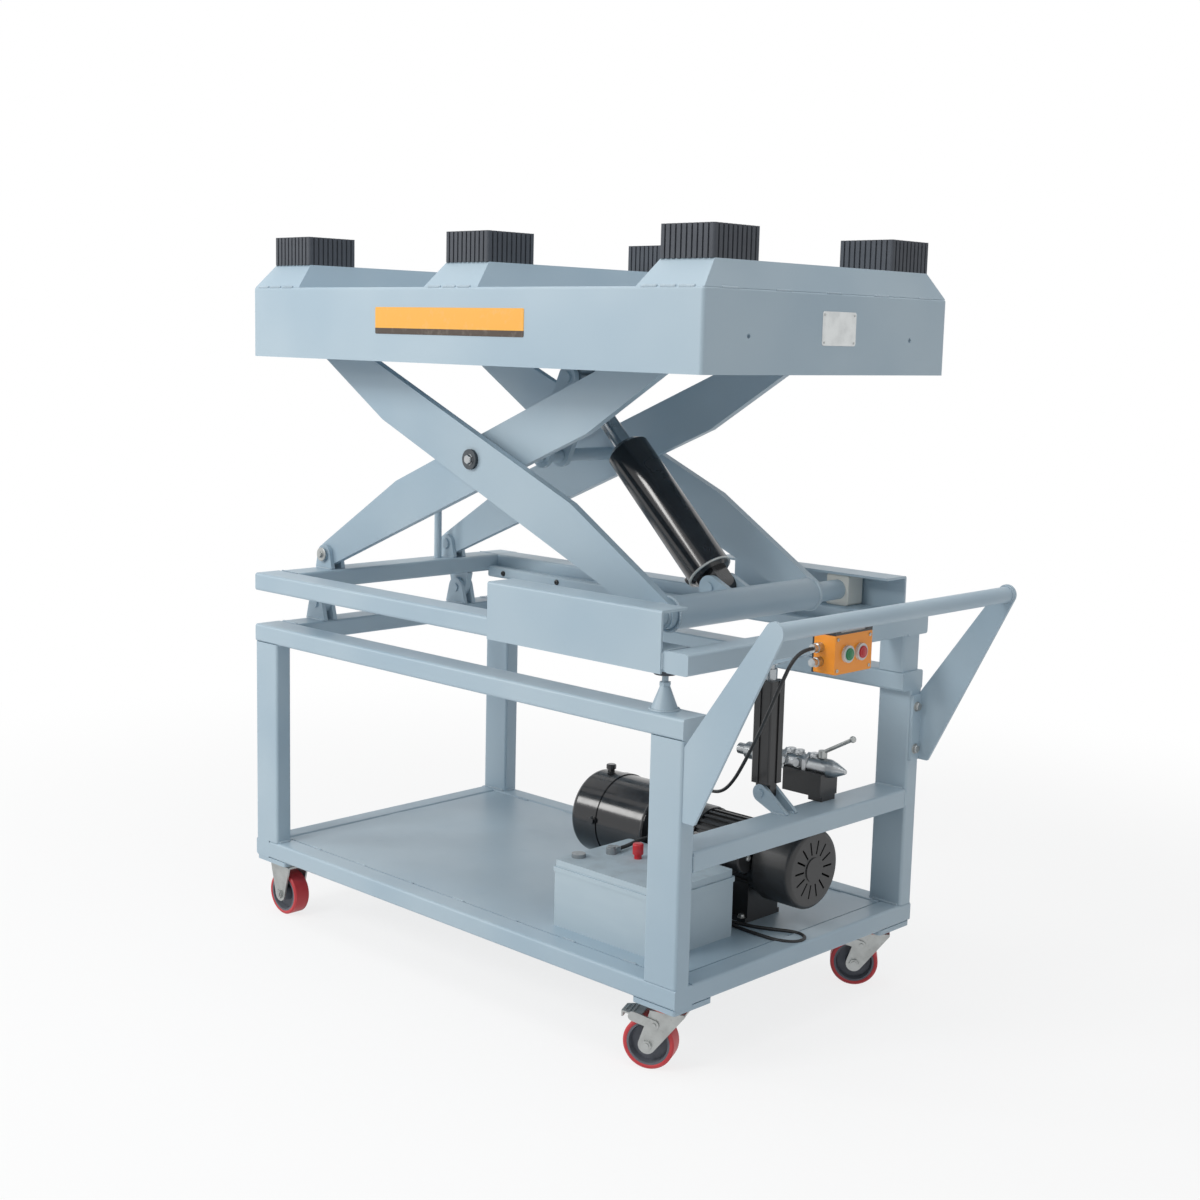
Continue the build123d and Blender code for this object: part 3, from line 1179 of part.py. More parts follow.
def platform_tracks():
    """Channels for the upper slide blocks and hinge lugs for the outer arms."""
    skirt = PLATFORM_W / 2 - PLATFORM_T
    x1 = PLATFORM_REAR + PLATFORM_L - PLATFORM_T
    x0 = x1 - TRACK_L
    half = PIVOT_RISE
    low, high = TOP_PIVOT_Z - half - TRACK_T, TOP_PIVOT_Z + half + TRACK_T
    web = block((x0, -skirt, low), (x1, TRACK_T - skirt, high))
    sole = block((x0, TRACK_T - skirt, low), (x1, TRACK_FLANGE - skirt, low + TRACK_T))
    roof = block((x0, TRACK_T - skirt, high - TRACK_T), (x1, TRACK_FLANGE - skirt, high))
    solids = mirrored([web, sole, roof])
    ceiling = PLATFORM_TOP - PLATFORM_T
    for side in SIDES:
        solids += arm_ears(HINGE_LINE_X, TOP_PIVOT_Z, ceiling, side * (OUTER_ARM_Y - ARM_T / 2))
    return solids


# Cables: straight runs joined by tangent arcs, through points chosen by hand

CABLE_R = 3.5
LEAD_R = 4.0
ARC_SHARE = 0.45


def cable(points, radius, name):
    """Round cable along its route, with arcs as large as the runs allow."""
    route = [Vector(*p) for p in points]
    radii = []
    for before, corner, after in zip(route, route[1:], route[2:]):
        turn = radians((corner - before).get_angle(after - corner))
        run = min((corner - before).length, (after - corner).length)
        radii.append(ARC_SHARE * run / tan(turn / 2))
    path = FilletPolyline(*route, radius=radii)
    start = Plane(origin=route[0], z_dir=route[1] - route[0])
    solid = sweep(start * Circle(radius), path=path)
    print(name, "length", round(path.length), "radii", [round(r) for r in radii],
          "volume ratio", round(solid.volume / (pi * radius**2 * path.length), 4))
    return [solid]


def control_cable():
    """From the upper gland on the control box down to the top of the pump block."""
    x, z = gland_places()[0]
    y = BOX_Y - BOX_W / 2 - GLAND_L
    px, py, pz = PUMP_START + 27, PACK_Y, PACK_Z + PUMP_W / 2
    route = [(x, y, z), (x, y - 26, z), (x - 10, y - 44, z - 20), (x - 26, y - 46, z - 55),
             (x - 62, y - 28, z - 107), (x - 122, y + 16, z - 174), (x - 192, y + 66, z - 246),
             (x - 264, y + 120, z - 312), (x - 340, y + 178, z - 360), (x - 412, y + 226, z - 382),
             (px + 51, py - 13, pz + 53),
             (px + 16, py - 1, pz + 40), (px, py, pz + 20), (px, py, pz)]
    return cable(route, CABLE_R, "control cable")


def spare_cable():
    """From the pump block's left side down to the deck, where it lies in a loop with a free end."""
    floor = DECK_TOP + CABLE_R
    x, y, z = PUMP_START + PUMP_L / 2, PACK_Y - PUMP_W / 2, PACK_Z - 8
    route = [(x, y, z), (x, y - 26, z), (x + 14, y - 46, z - 18), (x + 44, y - 54, z - 52),
             (x + 92, y - 48, z - 88), (x + 152, y - 36, floor + 8), (x + 220, y - 31, floor),
             (x + 284, y - 34, floor), (x + 328, y - 31, floor), (x + 357, y - 8, floor),
             (x + 350, y + 26, floor), (x + 318, y + 36, floor), (x + 278, y + 14, floor),
             (x + 226, y - 10, floor), (x + 170, y - 17, floor)]
    return cable(route, CABLE_R, "spare cable")


def battery_lead():
    """From the lug on the battery to the pump block's left side."""
    x, y = terminal_places()[1]
    z = BATTERY_TOP + LUG_H / 2
    side = PACK_Y - PUMP_W / 2
    start = y + LUG_L
    route = [(x, start, z), (x, start + 26, z), (x - 5, start + 64, z + 4), (x - 9, start + 104, z + 2),
             (x - 8, side - 26, z - 8), (x - 8, side, z - 8)]
    return cable(route, LEAD_R, "battery lead")


def main():
    places = caster_places()
    turns = [LEFT_TURN, RIGHT_TURN, 0.0, 0.0]
    nodes = {
        "lower_ring": lower_ring(), "deck_plate": deck_plate(), "corner_posts": corner_posts(),
        "upper_rails": upper_rails(), "mid_rail": mid_rail(), "handle_arms": handle_arms(),
        "handle_bar": handle_bar(),
        "control_hanger": control_hanger(), "control_box": control_box(), "control_cover": control_cover(),
        "control_fittings": control_fittings(), "green_button": button(0), "red_button": button(1),
        "oil_tank": oil_tank(), "tank_fittings": tank_fittings(), "pump_block": pump_block(),
        "motor_body": motor_body(), "fan_cover": fan_cover(), "motor_capacitor": motor_capacitor(),
        "valve_block": valve_block(), "valve_cartridges": valve_cartridges(), "valve_lever": valve_lever(),
        "battery_case": battery_case(), "battery_lid": battery_lid(),
        "battery_terminals": battery_terminals(),
        "rest_stops": rest_stops(), "rest_pad": rest_pad(), "rear_hinges": rear_hinges(),
        "rear_forks": [fork(place, 0.0, False) for place in places[2:]],
        "tilt_ring": tilt_ring(), "slide_channels": slide_channels(), "tilt_lugs": tilt_lugs(),
        "actuator_column": actuator_column(), "actuator_rod": actuator_rod(),
        "inner_arms": inner_arms(), "outer_arms": outer_arms(), "centre_bolts": centre_bolts(),
        "lower_slides": lower_slides(), "upper_slides": upper_slides(),
        "cylinder_barrel": cylinder_barrel(), "cylinder_rod": cylinder_rod(),
        "platform_shell": platform_shell(), "platform_ridges": platform_ridges(),
        "platform_pads": platform_pads(), "platform_tracks": platform_tracks(),
        "control_cable": control_cable(), "spare_cable": spare_cable(), "battery_lead": battery_lead(),
    }
    for name, place, turn in zip(("handle_left", "handle_right"), places, turns):
        nodes[f"{name}_fork"] = [fork(place, turn, True)]
        nodes[f"{name}_pedal"] = pedal(place, turn)
    names = ("handle_left", "handle_right", "rear_left", "rear_right")
    for name, place, turn in zip(names, places, turns):
        where = wheel_place(place, turn, name.startswith("handle"))
        nodes[f"{name}_core"] = [where * wheel_core()]
        nodes[f"{name}_tread"] = [where * wheel_tread()]
    os.makedirs("parts", exist_ok=True)
    for name, solids in nodes.items():
        shape = solids[0] if len(solids) == 1 else Compound(children=list(solids))
        export_step(shape, f"parts/{name}.step")
    foot, head = LIFT_FOOT, LIFT_HEAD
    print("nodes", len(nodes), "rear", REAR, "centre", CENTRE.X, CENTRE.Z, "slide x", SLIDE_X)
    print("lift foot", foot.X, foot.Z, "lift head", head.X, head.Z, "span", LIFT_SPAN, "tilt", LIFT_TILT)


if __name__ == "__main__":
    main()
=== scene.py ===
"""Finishes, small fittings, cables, light and camera for a mobile scissor lift table."""

from __future__ import annotations

import json
import logging
import math
from dataclasses import dataclass, field
from enum import Enum
from typing import Any, Iterable, Optional, Sequence, Union

import bmesh
import bpy
import numpy as np
from mathutils import Matrix, Vector

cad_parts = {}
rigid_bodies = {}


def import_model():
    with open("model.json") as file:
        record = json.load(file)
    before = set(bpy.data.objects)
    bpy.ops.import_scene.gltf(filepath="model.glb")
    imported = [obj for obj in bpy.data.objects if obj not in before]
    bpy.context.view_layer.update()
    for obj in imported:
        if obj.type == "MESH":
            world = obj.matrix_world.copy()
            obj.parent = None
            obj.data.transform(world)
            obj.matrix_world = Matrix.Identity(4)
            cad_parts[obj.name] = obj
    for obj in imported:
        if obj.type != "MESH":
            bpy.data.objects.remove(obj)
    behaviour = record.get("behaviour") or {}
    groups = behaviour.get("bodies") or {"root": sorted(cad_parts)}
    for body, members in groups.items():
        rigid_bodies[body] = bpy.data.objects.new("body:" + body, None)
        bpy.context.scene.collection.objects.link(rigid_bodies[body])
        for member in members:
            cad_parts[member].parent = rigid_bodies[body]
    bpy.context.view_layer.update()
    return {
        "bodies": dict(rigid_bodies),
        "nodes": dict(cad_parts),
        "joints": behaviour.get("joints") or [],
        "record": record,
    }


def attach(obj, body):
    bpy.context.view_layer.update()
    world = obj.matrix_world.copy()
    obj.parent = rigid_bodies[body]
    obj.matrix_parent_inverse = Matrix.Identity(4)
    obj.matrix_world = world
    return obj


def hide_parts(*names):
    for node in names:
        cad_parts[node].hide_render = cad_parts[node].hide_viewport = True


LOG = logging.getLogger("lift_table")

Point = Sequence[float]
Number = Union["Wire", float]


# Shader maths


class Wire:
    """A value in a shader tree. Python's operators on it add Math nodes."""

    def __init__(self, tree: "ShaderTree", socket: bpy.types.NodeSocket) -> None:
        """Keep the tree and the socket that carries the value."""
        self.tree = tree
        self.socket = socket

    def _math(self, operation: str, *values: Number) -> "Wire":
        """Add one Math node.

        Args:
            operation: Blender's name of the operation.
            values: the operands, in order.

        Returns:
            The node's result.
        """
        inputs = dict(enumerate(values))
        return self.tree.add("ShaderNodeMath", {"operation": operation}, inputs)

    def __add__(self, other: Number) -> "Wire":
        """Sum."""
        return self._math("ADD", self, other)

    __radd__ = __add__

    def __sub__(self, other: Number) -> "Wire":
        """Difference."""
        return self._math("SUBTRACT", self, other)

    def __rsub__(self, other: Number) -> "Wire":
        """Difference with this value second."""
        return self._math("SUBTRACT", other, self)

    def __mul__(self, other: Number) -> "Wire":
        """Product."""
        return self._math("MULTIPLY", self, other)

    __rmul__ = __mul__

    def above(self, level: Number) -> "Wire":
        """One where this value is greater than the level, else nought."""
        return self._math("GREATER_THAN", self, level)

    def most(self, other: Number) -> "Wire":
        """The greater of two values."""
        return self._math("MAXIMUM", self, other)

    def smooth(self, low: float, high: float) -> "Wire":
        """Smooth step.

        Args:
            low: the value that gives nought.
            high: the value that gives one.

        Returns:
            A value from nought to one.
        """
        settings = {"interpolation_type": "SMOOTHSTEP"}
        inputs = {0: self, 1: low, 2: high, 3: 0.0, 4: 1.0}
        return self.tree.add("ShaderNodeMapRange", settings, inputs)


Colour = tuple[float, float, float]


def srgb(code: str) -> Colour:
    """Linear colour of a six-digit hexadecimal one.

    Args:
        code: the digits, such as 'a9b9c6'.

    Returns:
        Red, green and blue as linear light.
    """
    parts = np.array([int(code[i : i + 2], 16) for i in (0, 2, 4)]) / 255.0
    linear = np.where(parts <= 0.04045, parts / 12.92, ((parts + 0.055) / 1.055) ** 2.4)
    return tuple(float(v) for v in linear)


class ShaderTree:
    """The nodes of one material or world."""

    def __init__(self, owner: Union[bpy.types.Material, bpy.types.World]) -> None:
        """Clear the owner's nodes."""
        self.owner = owner
        self.nodes = owner.node_tree.nodes
        self.links = owner.node_tree.links
        self.nodes.clear()
        self._place: Optional[Wire] = None

    @classmethod
    def named(cls, name: str) -> "ShaderTree":
        """Tree of a new material."""
        material = bpy.data.materials.new(name)
        material.use_nodes = True
        return cls(material)

    def end(self, shader: Wire) -> None:
        """Join the last shader to the output."""
        kind = "World" if isinstance(self.owner, bpy.types.World) else "Material"
        output = self.nodes.new(f"ShaderNodeOutput{kind}")
        self.links.new(shader.socket, output.inputs[0])

    def add(
        self,
        kind: str,
        settings: Optional[dict[str, Any]] = None,
        inputs: Optional[dict[Union[int, str], Any]] = None,
        result: Union[int, str] = 0,
    ) -> Wire:
        """Add a node.

        Args:
            kind: the node's type name.
            settings: properties set before its sockets.
            inputs: values or wires by socket number or name.
            result: the output that is returned.

        Returns:
            The chosen output.
        """
        node = self.nodes.new(kind)
        for key, value in (settings or {}).items():
            setattr(node, key, value)
        for key, value in (inputs or {}).items():
            self.plug(node.inputs[key], value)
        return Wire(self, node.outputs[result])

    def plug(self, socket: bpy.types.NodeSocket, value: Any) -> None:
        """Link a wire to a socket, or set the socket's own value."""
        if isinstance(value, Wire):
            self.links.new(value.socket, socket)
        elif isinstance(value, tuple) and len(value) == 3 and socket.type == "RGBA":
            socket.default_value = (*value, 1.0)
        else:
            socket.default_value = value

    @property
    def place(self) -> Wire:
        """The point on the surface in the object's own coordinates."""
        if self._place is None:
            self._place = self.add("ShaderNodeTexCoord", result="Object")
        return self._place

    def stretched(self, scale: Point) -> Wire:
        """Coordinates scaled on each axis.

        Args:
            scale: factors along X, Y and Z.

        Returns:
            The mapped coordinates.
        """
        return self.add("ShaderNodeMapping", {}, {"Vector": self.place, "Scale": tuple(scale)})

    def noise(self, scale: float, detail: float = 3.0, where: Optional[Wire] = None) -> Wire:
        """Fractal noise from nought to one.

        Args:
            scale: cells in a metre.
            detail: octaves.
            where: coordinates, the surface point by default.

        Returns:
            The noise value.
        """
        inputs = {"Vector": where or self.place, "Scale": scale, "Detail": detail, "Roughness": 0.55}
        return self.add("ShaderNodeTexNoise", {}, inputs, "Fac")

    def axis(self, letter: str) -> Wire:
        """One coordinate of the surface point, in metres."""
        return self.add("ShaderNodeSeparateXYZ", {}, {0: self.place}, letter)

    def upward(self) -> Wire:
        """How far the surface faces up, from minus one to one."""
        normal = self.add("ShaderNodeNewGeometry", result="Normal")
        return self.add("ShaderNodeSeparateXYZ", {}, {0: normal}, "Z")

    def mix(self, share: Number, first: Any, second: Any) -> Wire:
        """Blend two colours.

        Args:
            share: nought gives the first, one the second.
            first: a colour or wire.
            second: a colour or wire.

        Returns:
            The blended colour.
        """
        settings = {"data_type": "RGBA"}
        return self.add("ShaderNodeMix", settings, {0: share, 6: first, 7: second}, 2)

    def bump(self, height: Wire, strength: float, distance: float) -> Wire:
        """Normal raised by a height.

        Args:
            height: the height, from nought to one.
            strength: how much of it shows.
            distance: its depth in metres.

        Returns:
            The bumped normal.
        """
        inputs = {"Strength": strength, "Distance": distance, "Height": height}
        return self.add("ShaderNodeBump", {}, inputs)

    def surface(self, **sockets: Any) -> bpy.types.Material:
        """End in a Principled shader.

        Args:
            sockets: its sockets by name, with spaces written as underscores.

        Returns:
            The material.
        """
        inputs = {key.replace("_", " "): value for key, value in sockets.items()}
        self.end(self.add("ShaderNodeBsdfPrincipled", {}, inputs))
        return self.owner


# Finishes


@dataclass(frozen=True)
class Finish:
    """A named finish that makes its material once; slot holds the name of a material slot of the record."""

    name: str
    slot: str = ""

    def material(self) -> bpy.types.Material:
        """The material, made on first use."""
        found = bpy.data.materials.get(self.name)
        return found if found else self.make(ShaderTree.named(self.name))

    def make(self, tree: ShaderTree) -> bpy.types.Material:
        """Build the nodes of the finish."""
        raise NotImplementedError


@dataclass(frozen=True)
class Enamel(Finish):
    """Sprayed paint on steel: broad colour drift, orange peel, settled dust and fine scuffs."""

    colour: str = "b0c3cf"
    shade: str = "a2b8c7"
    dust: str = "bccad2"
    roughness: float = 0.36
    peel: float = 0.16

    def make(self, tree: ShaderTree) -> bpy.types.Material:
        """Build the paint's nodes."""
        drift = tree.noise(2.6, 2.0).smooth(0.3, 0.72)
        mottle = tree.noise(38.0, 4.0)
        colour = tree.mix(drift, srgb(self.colour), srgb(self.shade))
        settled = tree.upward().smooth(0.55, 0.98) * tree.noise(9.0, 6.0).smooth(0.42, 0.8)
        colour = tree.mix(settled * 0.4, colour, srgb(self.dust))
        streaks = tree.noise(21.0, 5.0, tree.stretched((1.0, 1.0, 7.0))).smooth(0.63, 0.78)
        colour = tree.mix(streaks * 0.16, colour, srgb(self.shade))
        peel = tree.noise(420.0, 2.0)
        rough = self.roughness + mottle * 0.12 + settled * 0.16 + streaks * 0.06
        normal = tree.bump(peel, self.peel, 0.0006)
        coat = {"Coat_Weight": 0.12, "Coat_Roughness": 0.3}
        return tree.surface(Base_Color=colour, Roughness=rough, Normal=normal, **coat)


@dataclass(frozen=True)
class GlossBlack(Finish):
    """Glossy black paint with a film of dust on top and fine specks."""

    colour: str = "17191d"
    dust: str = "5a5e64"
    roughness: float = 0.11
    film: float = 0.16

    def make(self, tree: ShaderTree) -> bpy.types.Material:
        """Build the black paint's nodes."""
        film = tree.upward().smooth(0.15, 0.95) * tree.noise(17.0, 6.0).smooth(0.35, 0.75)
        specks = tree.noise(320.0, 2.0).smooth(0.66, 0.76)
        colour = tree.mix(film * self.film, srgb(self.colour), srgb(self.dust))
        colour = tree.mix(specks * 0.1, colour, srgb(self.dust))
        rough = self.roughness + film * 0.22 + tree.noise(46.0, 4.0) * 0.08
        normal = tree.bump(tree.noise(260.0, 2.0), 0.06, 0.0004)
        coat = {"Coat_Weight": 0.25, "Coat_Roughness": 0.12}
        return tree.surface(Base_Color=colour, Roughness=rough, Normal=normal, **coat)


@dataclass(frozen=True)
class Metal(Finish):
    """Bare or plated metal with fine lines, cloudy plating and handling marks."""

    colour: str = "b9bdbf"
    stain: str = "868a8c"
    roughness: float = 0.3
    lines: tuple[float, float, float] = (40.0, 900.0, 40.0)
    line_depth: float = 0.1
    metallic: float = 1.0

    def make(self, tree: ShaderTree) -> bpy.types.Material:
        """Build the metal's nodes."""
        cloud = tree.noise(34.0, 5.0).smooth(0.35, 0.75)
        marks = tree.noise(150.0, 6.0).smooth(0.58, 0.74)
        grain = tree.noise(1.0, 3.0, tree.stretched(self.lines))
        colour = tree.mix(cloud * 0.45, srgb(self.colour), srgb(self.stain))
        colour = tree.mix(marks * 0.35, colour, srgb(self.stain))
        rough = self.roughness + cloud * 0.12 + marks * 0.1 + grain * 0.08
        normal = tree.bump(grain, self.line_depth, 0.0003)
        return tree.surface(Base_Color=colour, Roughness=rough, Metallic=self.metallic, Normal=normal)


@dataclass(frozen=True)
class Moulding(Finish):
    """Moulded plastic or rubber: fine spark grain, faint flow lines and a little dust."""

    colour: str = "202124"
    pale: str = "3a3c40"
    roughness: float = 0.5
    grain: float = 520.0
    depth: float = 0.12
    dusty: float = 0.2
    gloss: float = 0.0
    dust: str = "8b8f92"

    def make(self, tree: ShaderTree) -> bpy.types.Material:
        """Build the moulding's nodes."""
        flow = tree.noise(11.0, 3.0, tree.stretched((1.0, 1.0, 3.0))).smooth(0.3, 0.75)
        settled = tree.upward().smooth(0.3, 0.95) * tree.noise(26.0, 6.0).smooth(0.38, 0.74)
        colour = tree.mix(flow * 0.35, srgb(self.colour), srgb(self.pale))
        colour = tree.mix(settled * self.dusty, colour, srgb(self.dust))
        grain = tree.noise(self.grain, 2.0)
        rough = self.roughness + grain * 0.1 + settled * 0.14
        normal = tree.bump(grain, self.depth, 0.0004)
        return tree.surface(Base_Color=colour, Roughness=rough, Normal=normal, Coat_Weight=self.gloss)


@dataclass(frozen=True)
class Split(Finish):
    """Two looks on one piece: one colour and metal on each side of a level on one axis."""

    letter: str = "X"
    level: float = 0.0
    low: str = "c2c6c8"
    high: str = "d8dada"
    low_metal: float = 1.0
    high_metal: float = 0.0
    low_rough: float = 0.3
    high_rough: float = 0.35
    stain: str = "6f7375"

    def make(self, tree: ShaderTree) -> bpy.types.Material:
        """Build the nodes of both looks and the step between them."""
        side = tree.axis(self.letter).above(self.level)
        cloud = tree.noise(90.0, 5.0).smooth(0.4, 0.75)
        colour = tree.mix(side, srgb(self.low), srgb(self.high))
        colour = tree.mix(cloud * 0.22, colour, srgb(self.stain))
        metal = side * (self.high_metal - self.low_metal) + self.low_metal
        rough = side * (self.high_rough - self.low_rough) + self.low_rough + cloud * 0.12
        normal = tree.bump(tree.noise(600.0, 2.0), 0.08, 0.0002)
        return tree.surface(Base_Color=colour, Metallic=metal, Roughness=rough, Normal=normal)


@dataclass(frozen=True)
class Banded(Finish):
    """Printed plate: a field and a band below a level on Z, with a rubbed film on top."""

    level: float = 0.0
    field_colour: str = "f5b040"
    band_colour: str = "3a2a1c"
    film: str = "d9d2c2"
    roughness: float = 0.34
    blur: float = 0.0004

    def make(self, tree: ShaderTree) -> bpy.types.Material:
        """Build the plate's nodes."""
        height = tree.axis("Z")
        band = height.smooth(self.level + self.blur, self.level - self.blur)
        rub = tree.noise(60.0, 6.0).smooth(0.5, 0.8)
        colour = tree.mix(band, srgb(self.field_colour), srgb(self.band_colour))
        colour = tree.mix(rub * 0.14, colour, srgb(self.film))
        rough = self.roughness + rub * 0.2
        normal = tree.bump(tree.noise(300.0, 2.0), 0.05, 0.0002)
        return tree.surface(Base_Color=colour, Roughness=rough, Normal=normal)


class Look(Enum):
    """Every finish on the table."""

    PAINT = Enamel("blue_grey_enamel", "blue_grey_paint")
    BEAD = Enamel(
        "painted_weld", "blue_grey_paint", colour="b9cad5", shade="9db0bd", roughness=0.42, peel=0.4
    )
    BLACK = GlossBlack("gloss_black_paint", "black_paint")
    SATIN_BLACK = GlossBlack("satin_black_paint", "black_paint", colour="1f2022", roughness=0.42, film=0.3)
    ZINC = Metal("zinc_plate", "zinc_steel", colour="b4b7b6", stain="8f9190", roughness=0.36, metallic=0.85)
    STEEL = Metal("turned_steel", "machined_steel", colour="b5b8ba", stain="8a8e90", roughness=0.24)
    CHROME = Metal(
        "hard_chrome", "machined_steel", colour="a4a9ad", stain="84898d", roughness=0.12, line_depth=0.03
    )
    # Steel darkened as painted shade: it stands in for the shadow ring round each centre pin.
    OXIDE = Metal("dark_oxide", "machined_steel", colour="565a5e", stain="3c4043", roughness=0.34)
    CAST = Metal(
        "cast_alloy", "cast_aluminium", colour="8f9497", stain="6b6f72", roughness=0.48,
        lines=(300.0, 300.0, 300.0), metallic=0.8,
    )
    ORANGE = Moulding(
        "orange_box", "orange_plastic", colour="fd9a24", pale="ffa63a", roughness=0.32, dusty=0.05, gloss=0.1
    )
    GREEN = Moulding(
        "green_button", "green_plastic", colour="0f7a48", pale="178a55", roughness=0.28, dusty=0.04
    )
    RED = Moulding("red_button", "red_plastic", colour="b81a24", pale="c92a30", roughness=0.28, dusty=0.04)
    BLACK_PLASTIC = Moulding(
        "black_moulding", "black_plastic", colour="1d1e20", pale="26282a", roughness=0.42
    )
    BATTERY = Moulding(
        "battery_moulding", "battery_plastic", colour="b6c7d1", pale="bfcfd7", roughness=0.5, dusty=0.25
    )
    NYLON = Moulding("nylon_block", "nylon", colour="dfdfd8", pale="e8e8e2", roughness=0.45, dusty=0.1)
    RUBBER = Moulding(
        "pad_rubber", "black_rubber", colour="474b52", pale="53585f", roughness=0.66,
        grain=260.0, depth=0.2, dusty=0.35,
    )
    POLYURETHANE = Moulding(
        "red_tread", "red_polyurethane", colour="c8383f", pale="d24a4f", roughness=0.4,
        grain=180.0, dusty=0.15,
    )
    CORE = Moulding("wheel_core", "core_plastic", colour="62666f", pale="6e737c", roughness=0.5, dusty=0.25)
    SHEATH = Moulding(
        "sheath_moulding", "cable_sheath", colour="17181a", pale="222427", roughness=0.45,
        grain=900.0, dusty=0.15,
    )
    LABEL = Banded("plain_label", "orange_plastic", level=1.354)
    PLATE = Metal(
        "name_plate", "machined_steel", colour="cfd2d2", stain="b4b7b8", roughness=0.34,
        lines=(40.0, 40.0, 1200.0),
    )
    FITTINGS = Split("control_fittings_finish", "white_plastic", letter="X", level=0.7265)
    TERMINALS = Split(
        "terminal_finish", "red_plastic", letter="X", level=0.222, low="9da2a5", high="d01f2c",
        low_metal=0.9, low_rough=0.35,
    )
    RED_SEAL = Moulding(
        "red_dust_ring", "red_plastic", colour="d8431f", pale="e05a2a", roughness=0.4, dusty=0.1
    )
    WHITE_WIRE = Moulding(
        "white_wire", "white_plastic", colour="d9dcdc", pale="e4e6e6", roughness=0.4, dusty=0.05
    )
    GREEN_WIRE = Moulding(
        "green_yellow_wire", "green_plastic", colour="9ec83a", pale="c6d83c", roughness=0.4, dusty=0.05
    )
    RED_WIRE = Moulding("red_wire", "red_plastic", colour="c7222c", pale="d63238", roughness=0.4, dusty=0.05)

    def material(self) -> bpy.types.Material:
        """The look's material."""
        return self.value.material()


# Surfaces worked out as arrays

UNCUT = 9.0  # a flat so far out that it cuts nothing
SEAT = -0.0002  # how far a head or disc is let into its seat
THIN = 1e-6  # the radius where a bead or wire ends
WELD_RADIUS = 0.0032
WELD_PITCH = 0.0042
COARSE_PITCH = 0.005
PLAIN = 0.5  # a pitch so long that hardly a scale shows
ALONG_X = (1, 0, 0)
ALONG_Y = (0, 1, 0)
ALONG_Z = (0, 0, 1)
AGAINST_Y = (0, -1, 0)
SIDES = (-1, 1)


@dataclass
class Patch:
    """Points and four-cornered faces of one surface."""

    points: np.ndarray
    faces: np.ndarray


def joined(patches: Iterable[Patch]) -> Patch:
    """One patch from several.

    Args:
        patches: the surfaces.

    Returns:
        Their points and renumbered faces.
    """
    held = list(patches)
    starts = np.cumsum([0] + [len(p.points) for p in held[:-1]])
    points = np.concatenate([p.points for p in held])
    faces = np.concatenate([p.faces + start for p, start in zip(held, starts)])
    return Patch(points, faces)


def quilt(grid: np.ndarray, wrap_rows: bool = False, wrap_columns: bool = True) -> Patch:
    """Faces over a grid of points.

    Args:
        grid: rows by columns by three.
        wrap_rows: join the last row to the first.
        wrap_columns: join the last column to the first.

    Returns:
        The patch. A row that shrinks to one point closes the surface.
    """
    rows, columns = grid.shape[:2]
    row = np.arange(rows if wrap_rows else rows - 1)
    column = np.arange(columns if wrap_columns else columns - 1)
    i, j = np.meshgrid(row, column, indexing="ij")
    i2, j2 = (i + 1) % rows, (j + 1) % columns
    faces = np.stack([i * columns + j, i * columns + j2, i2 * columns + j2, i2 * columns + j], axis=-1)
    return Patch(grid.reshape(-1, 3), faces.reshape(-1, 4))


def basis(axis: Point) -> tuple[np.ndarray, np.ndarray, np.ndarray]:
    """Three unit vectors at right angles, the last along an axis.

    Args:
        axis: the axis's direction.

    Returns:
        Two cross directions and the axis.
    """
    along = np.array(axis, float)
    along /= np.linalg.norm(along)
    helper = np.array([0.0, 0.0, 1.0]) if abs(along[2]) < 0.9 else np.array([1.0, 0.0, 0.0])
    across = np.cross(helper, along)
    across /= np.linalg.norm(across)
    return across, np.cross(along, across), along


def turned(profile: Sequence[Point], centre: Point, axis: Point, sides: int = 40, facets: int = 0) -> Patch:
    """Turned or faceted piece.

    A point is the centre plus its distance along the axis plus its radius on a circle. With facets, the
    circle is cut by flats: the radius is at most the flat's distance over the cosine of the angle from the
    flat's middle.

    Args:
        profile: distance along the axis, radius, and for faceted rows the flat's distance from the axis.
        centre: where distance nought lies.
        axis: the direction of the axis.
        sides: points round it.
        facets: flats round it.

    Returns:
        The patch.
    """
    across, up, along = basis(axis)
    rows = np.array([(*row, UNCUT)[:3] for row in profile], float)
    angle = np.linspace(0.0, 2 * math.pi, sides, endpoint=False)
    radius = np.repeat(rows[:, 1:2], sides, axis=1)
    if facets:
        step = 2 * math.pi / facets
        from_flat = (angle + step / 2) % step - step / 2
        radius = np.minimum(radius, rows[:, 2:3] / np.cos(from_flat)[None, :])
    ring = np.cos(angle)[:, None] * across + np.sin(angle)[:, None] * up
    grid = np.array(centre, float) + rows[:, :1, None] * along + radius[..., None] * ring[None]
    return quilt(grid)


def hex_bolt(centre: Point, axis: Point, size: float = 0.008) -> Patch:
    """Hexagon head on a washer, with a rounded crown.

    The profile goes from the seat over the washer's rim, up the flats and in over the crown.

    Args:
        centre: the middle of the seat.
        axis: the direction the head faces.
        size: the thread's diameter.

    Returns:
        The patch.
    """
    flat, tall = 0.83 * size, 0.62 * size
    washer, thick = 1.1 * size, 0.16 * size
    corner = flat / math.cos(math.pi / 6)
    top = thick + tall
    rows = [(SEAT, 0.0), (SEAT, washer), (thick * 0.8, washer), (thick, washer * 0.96),
            (thick, corner, flat), (thick + tall * 0.8, corner, flat),
            (top, flat * 0.93), (top, flat * 0.5), (top, 0.0)]
    return turned(rows, centre, axis, sides=48, facets=6)


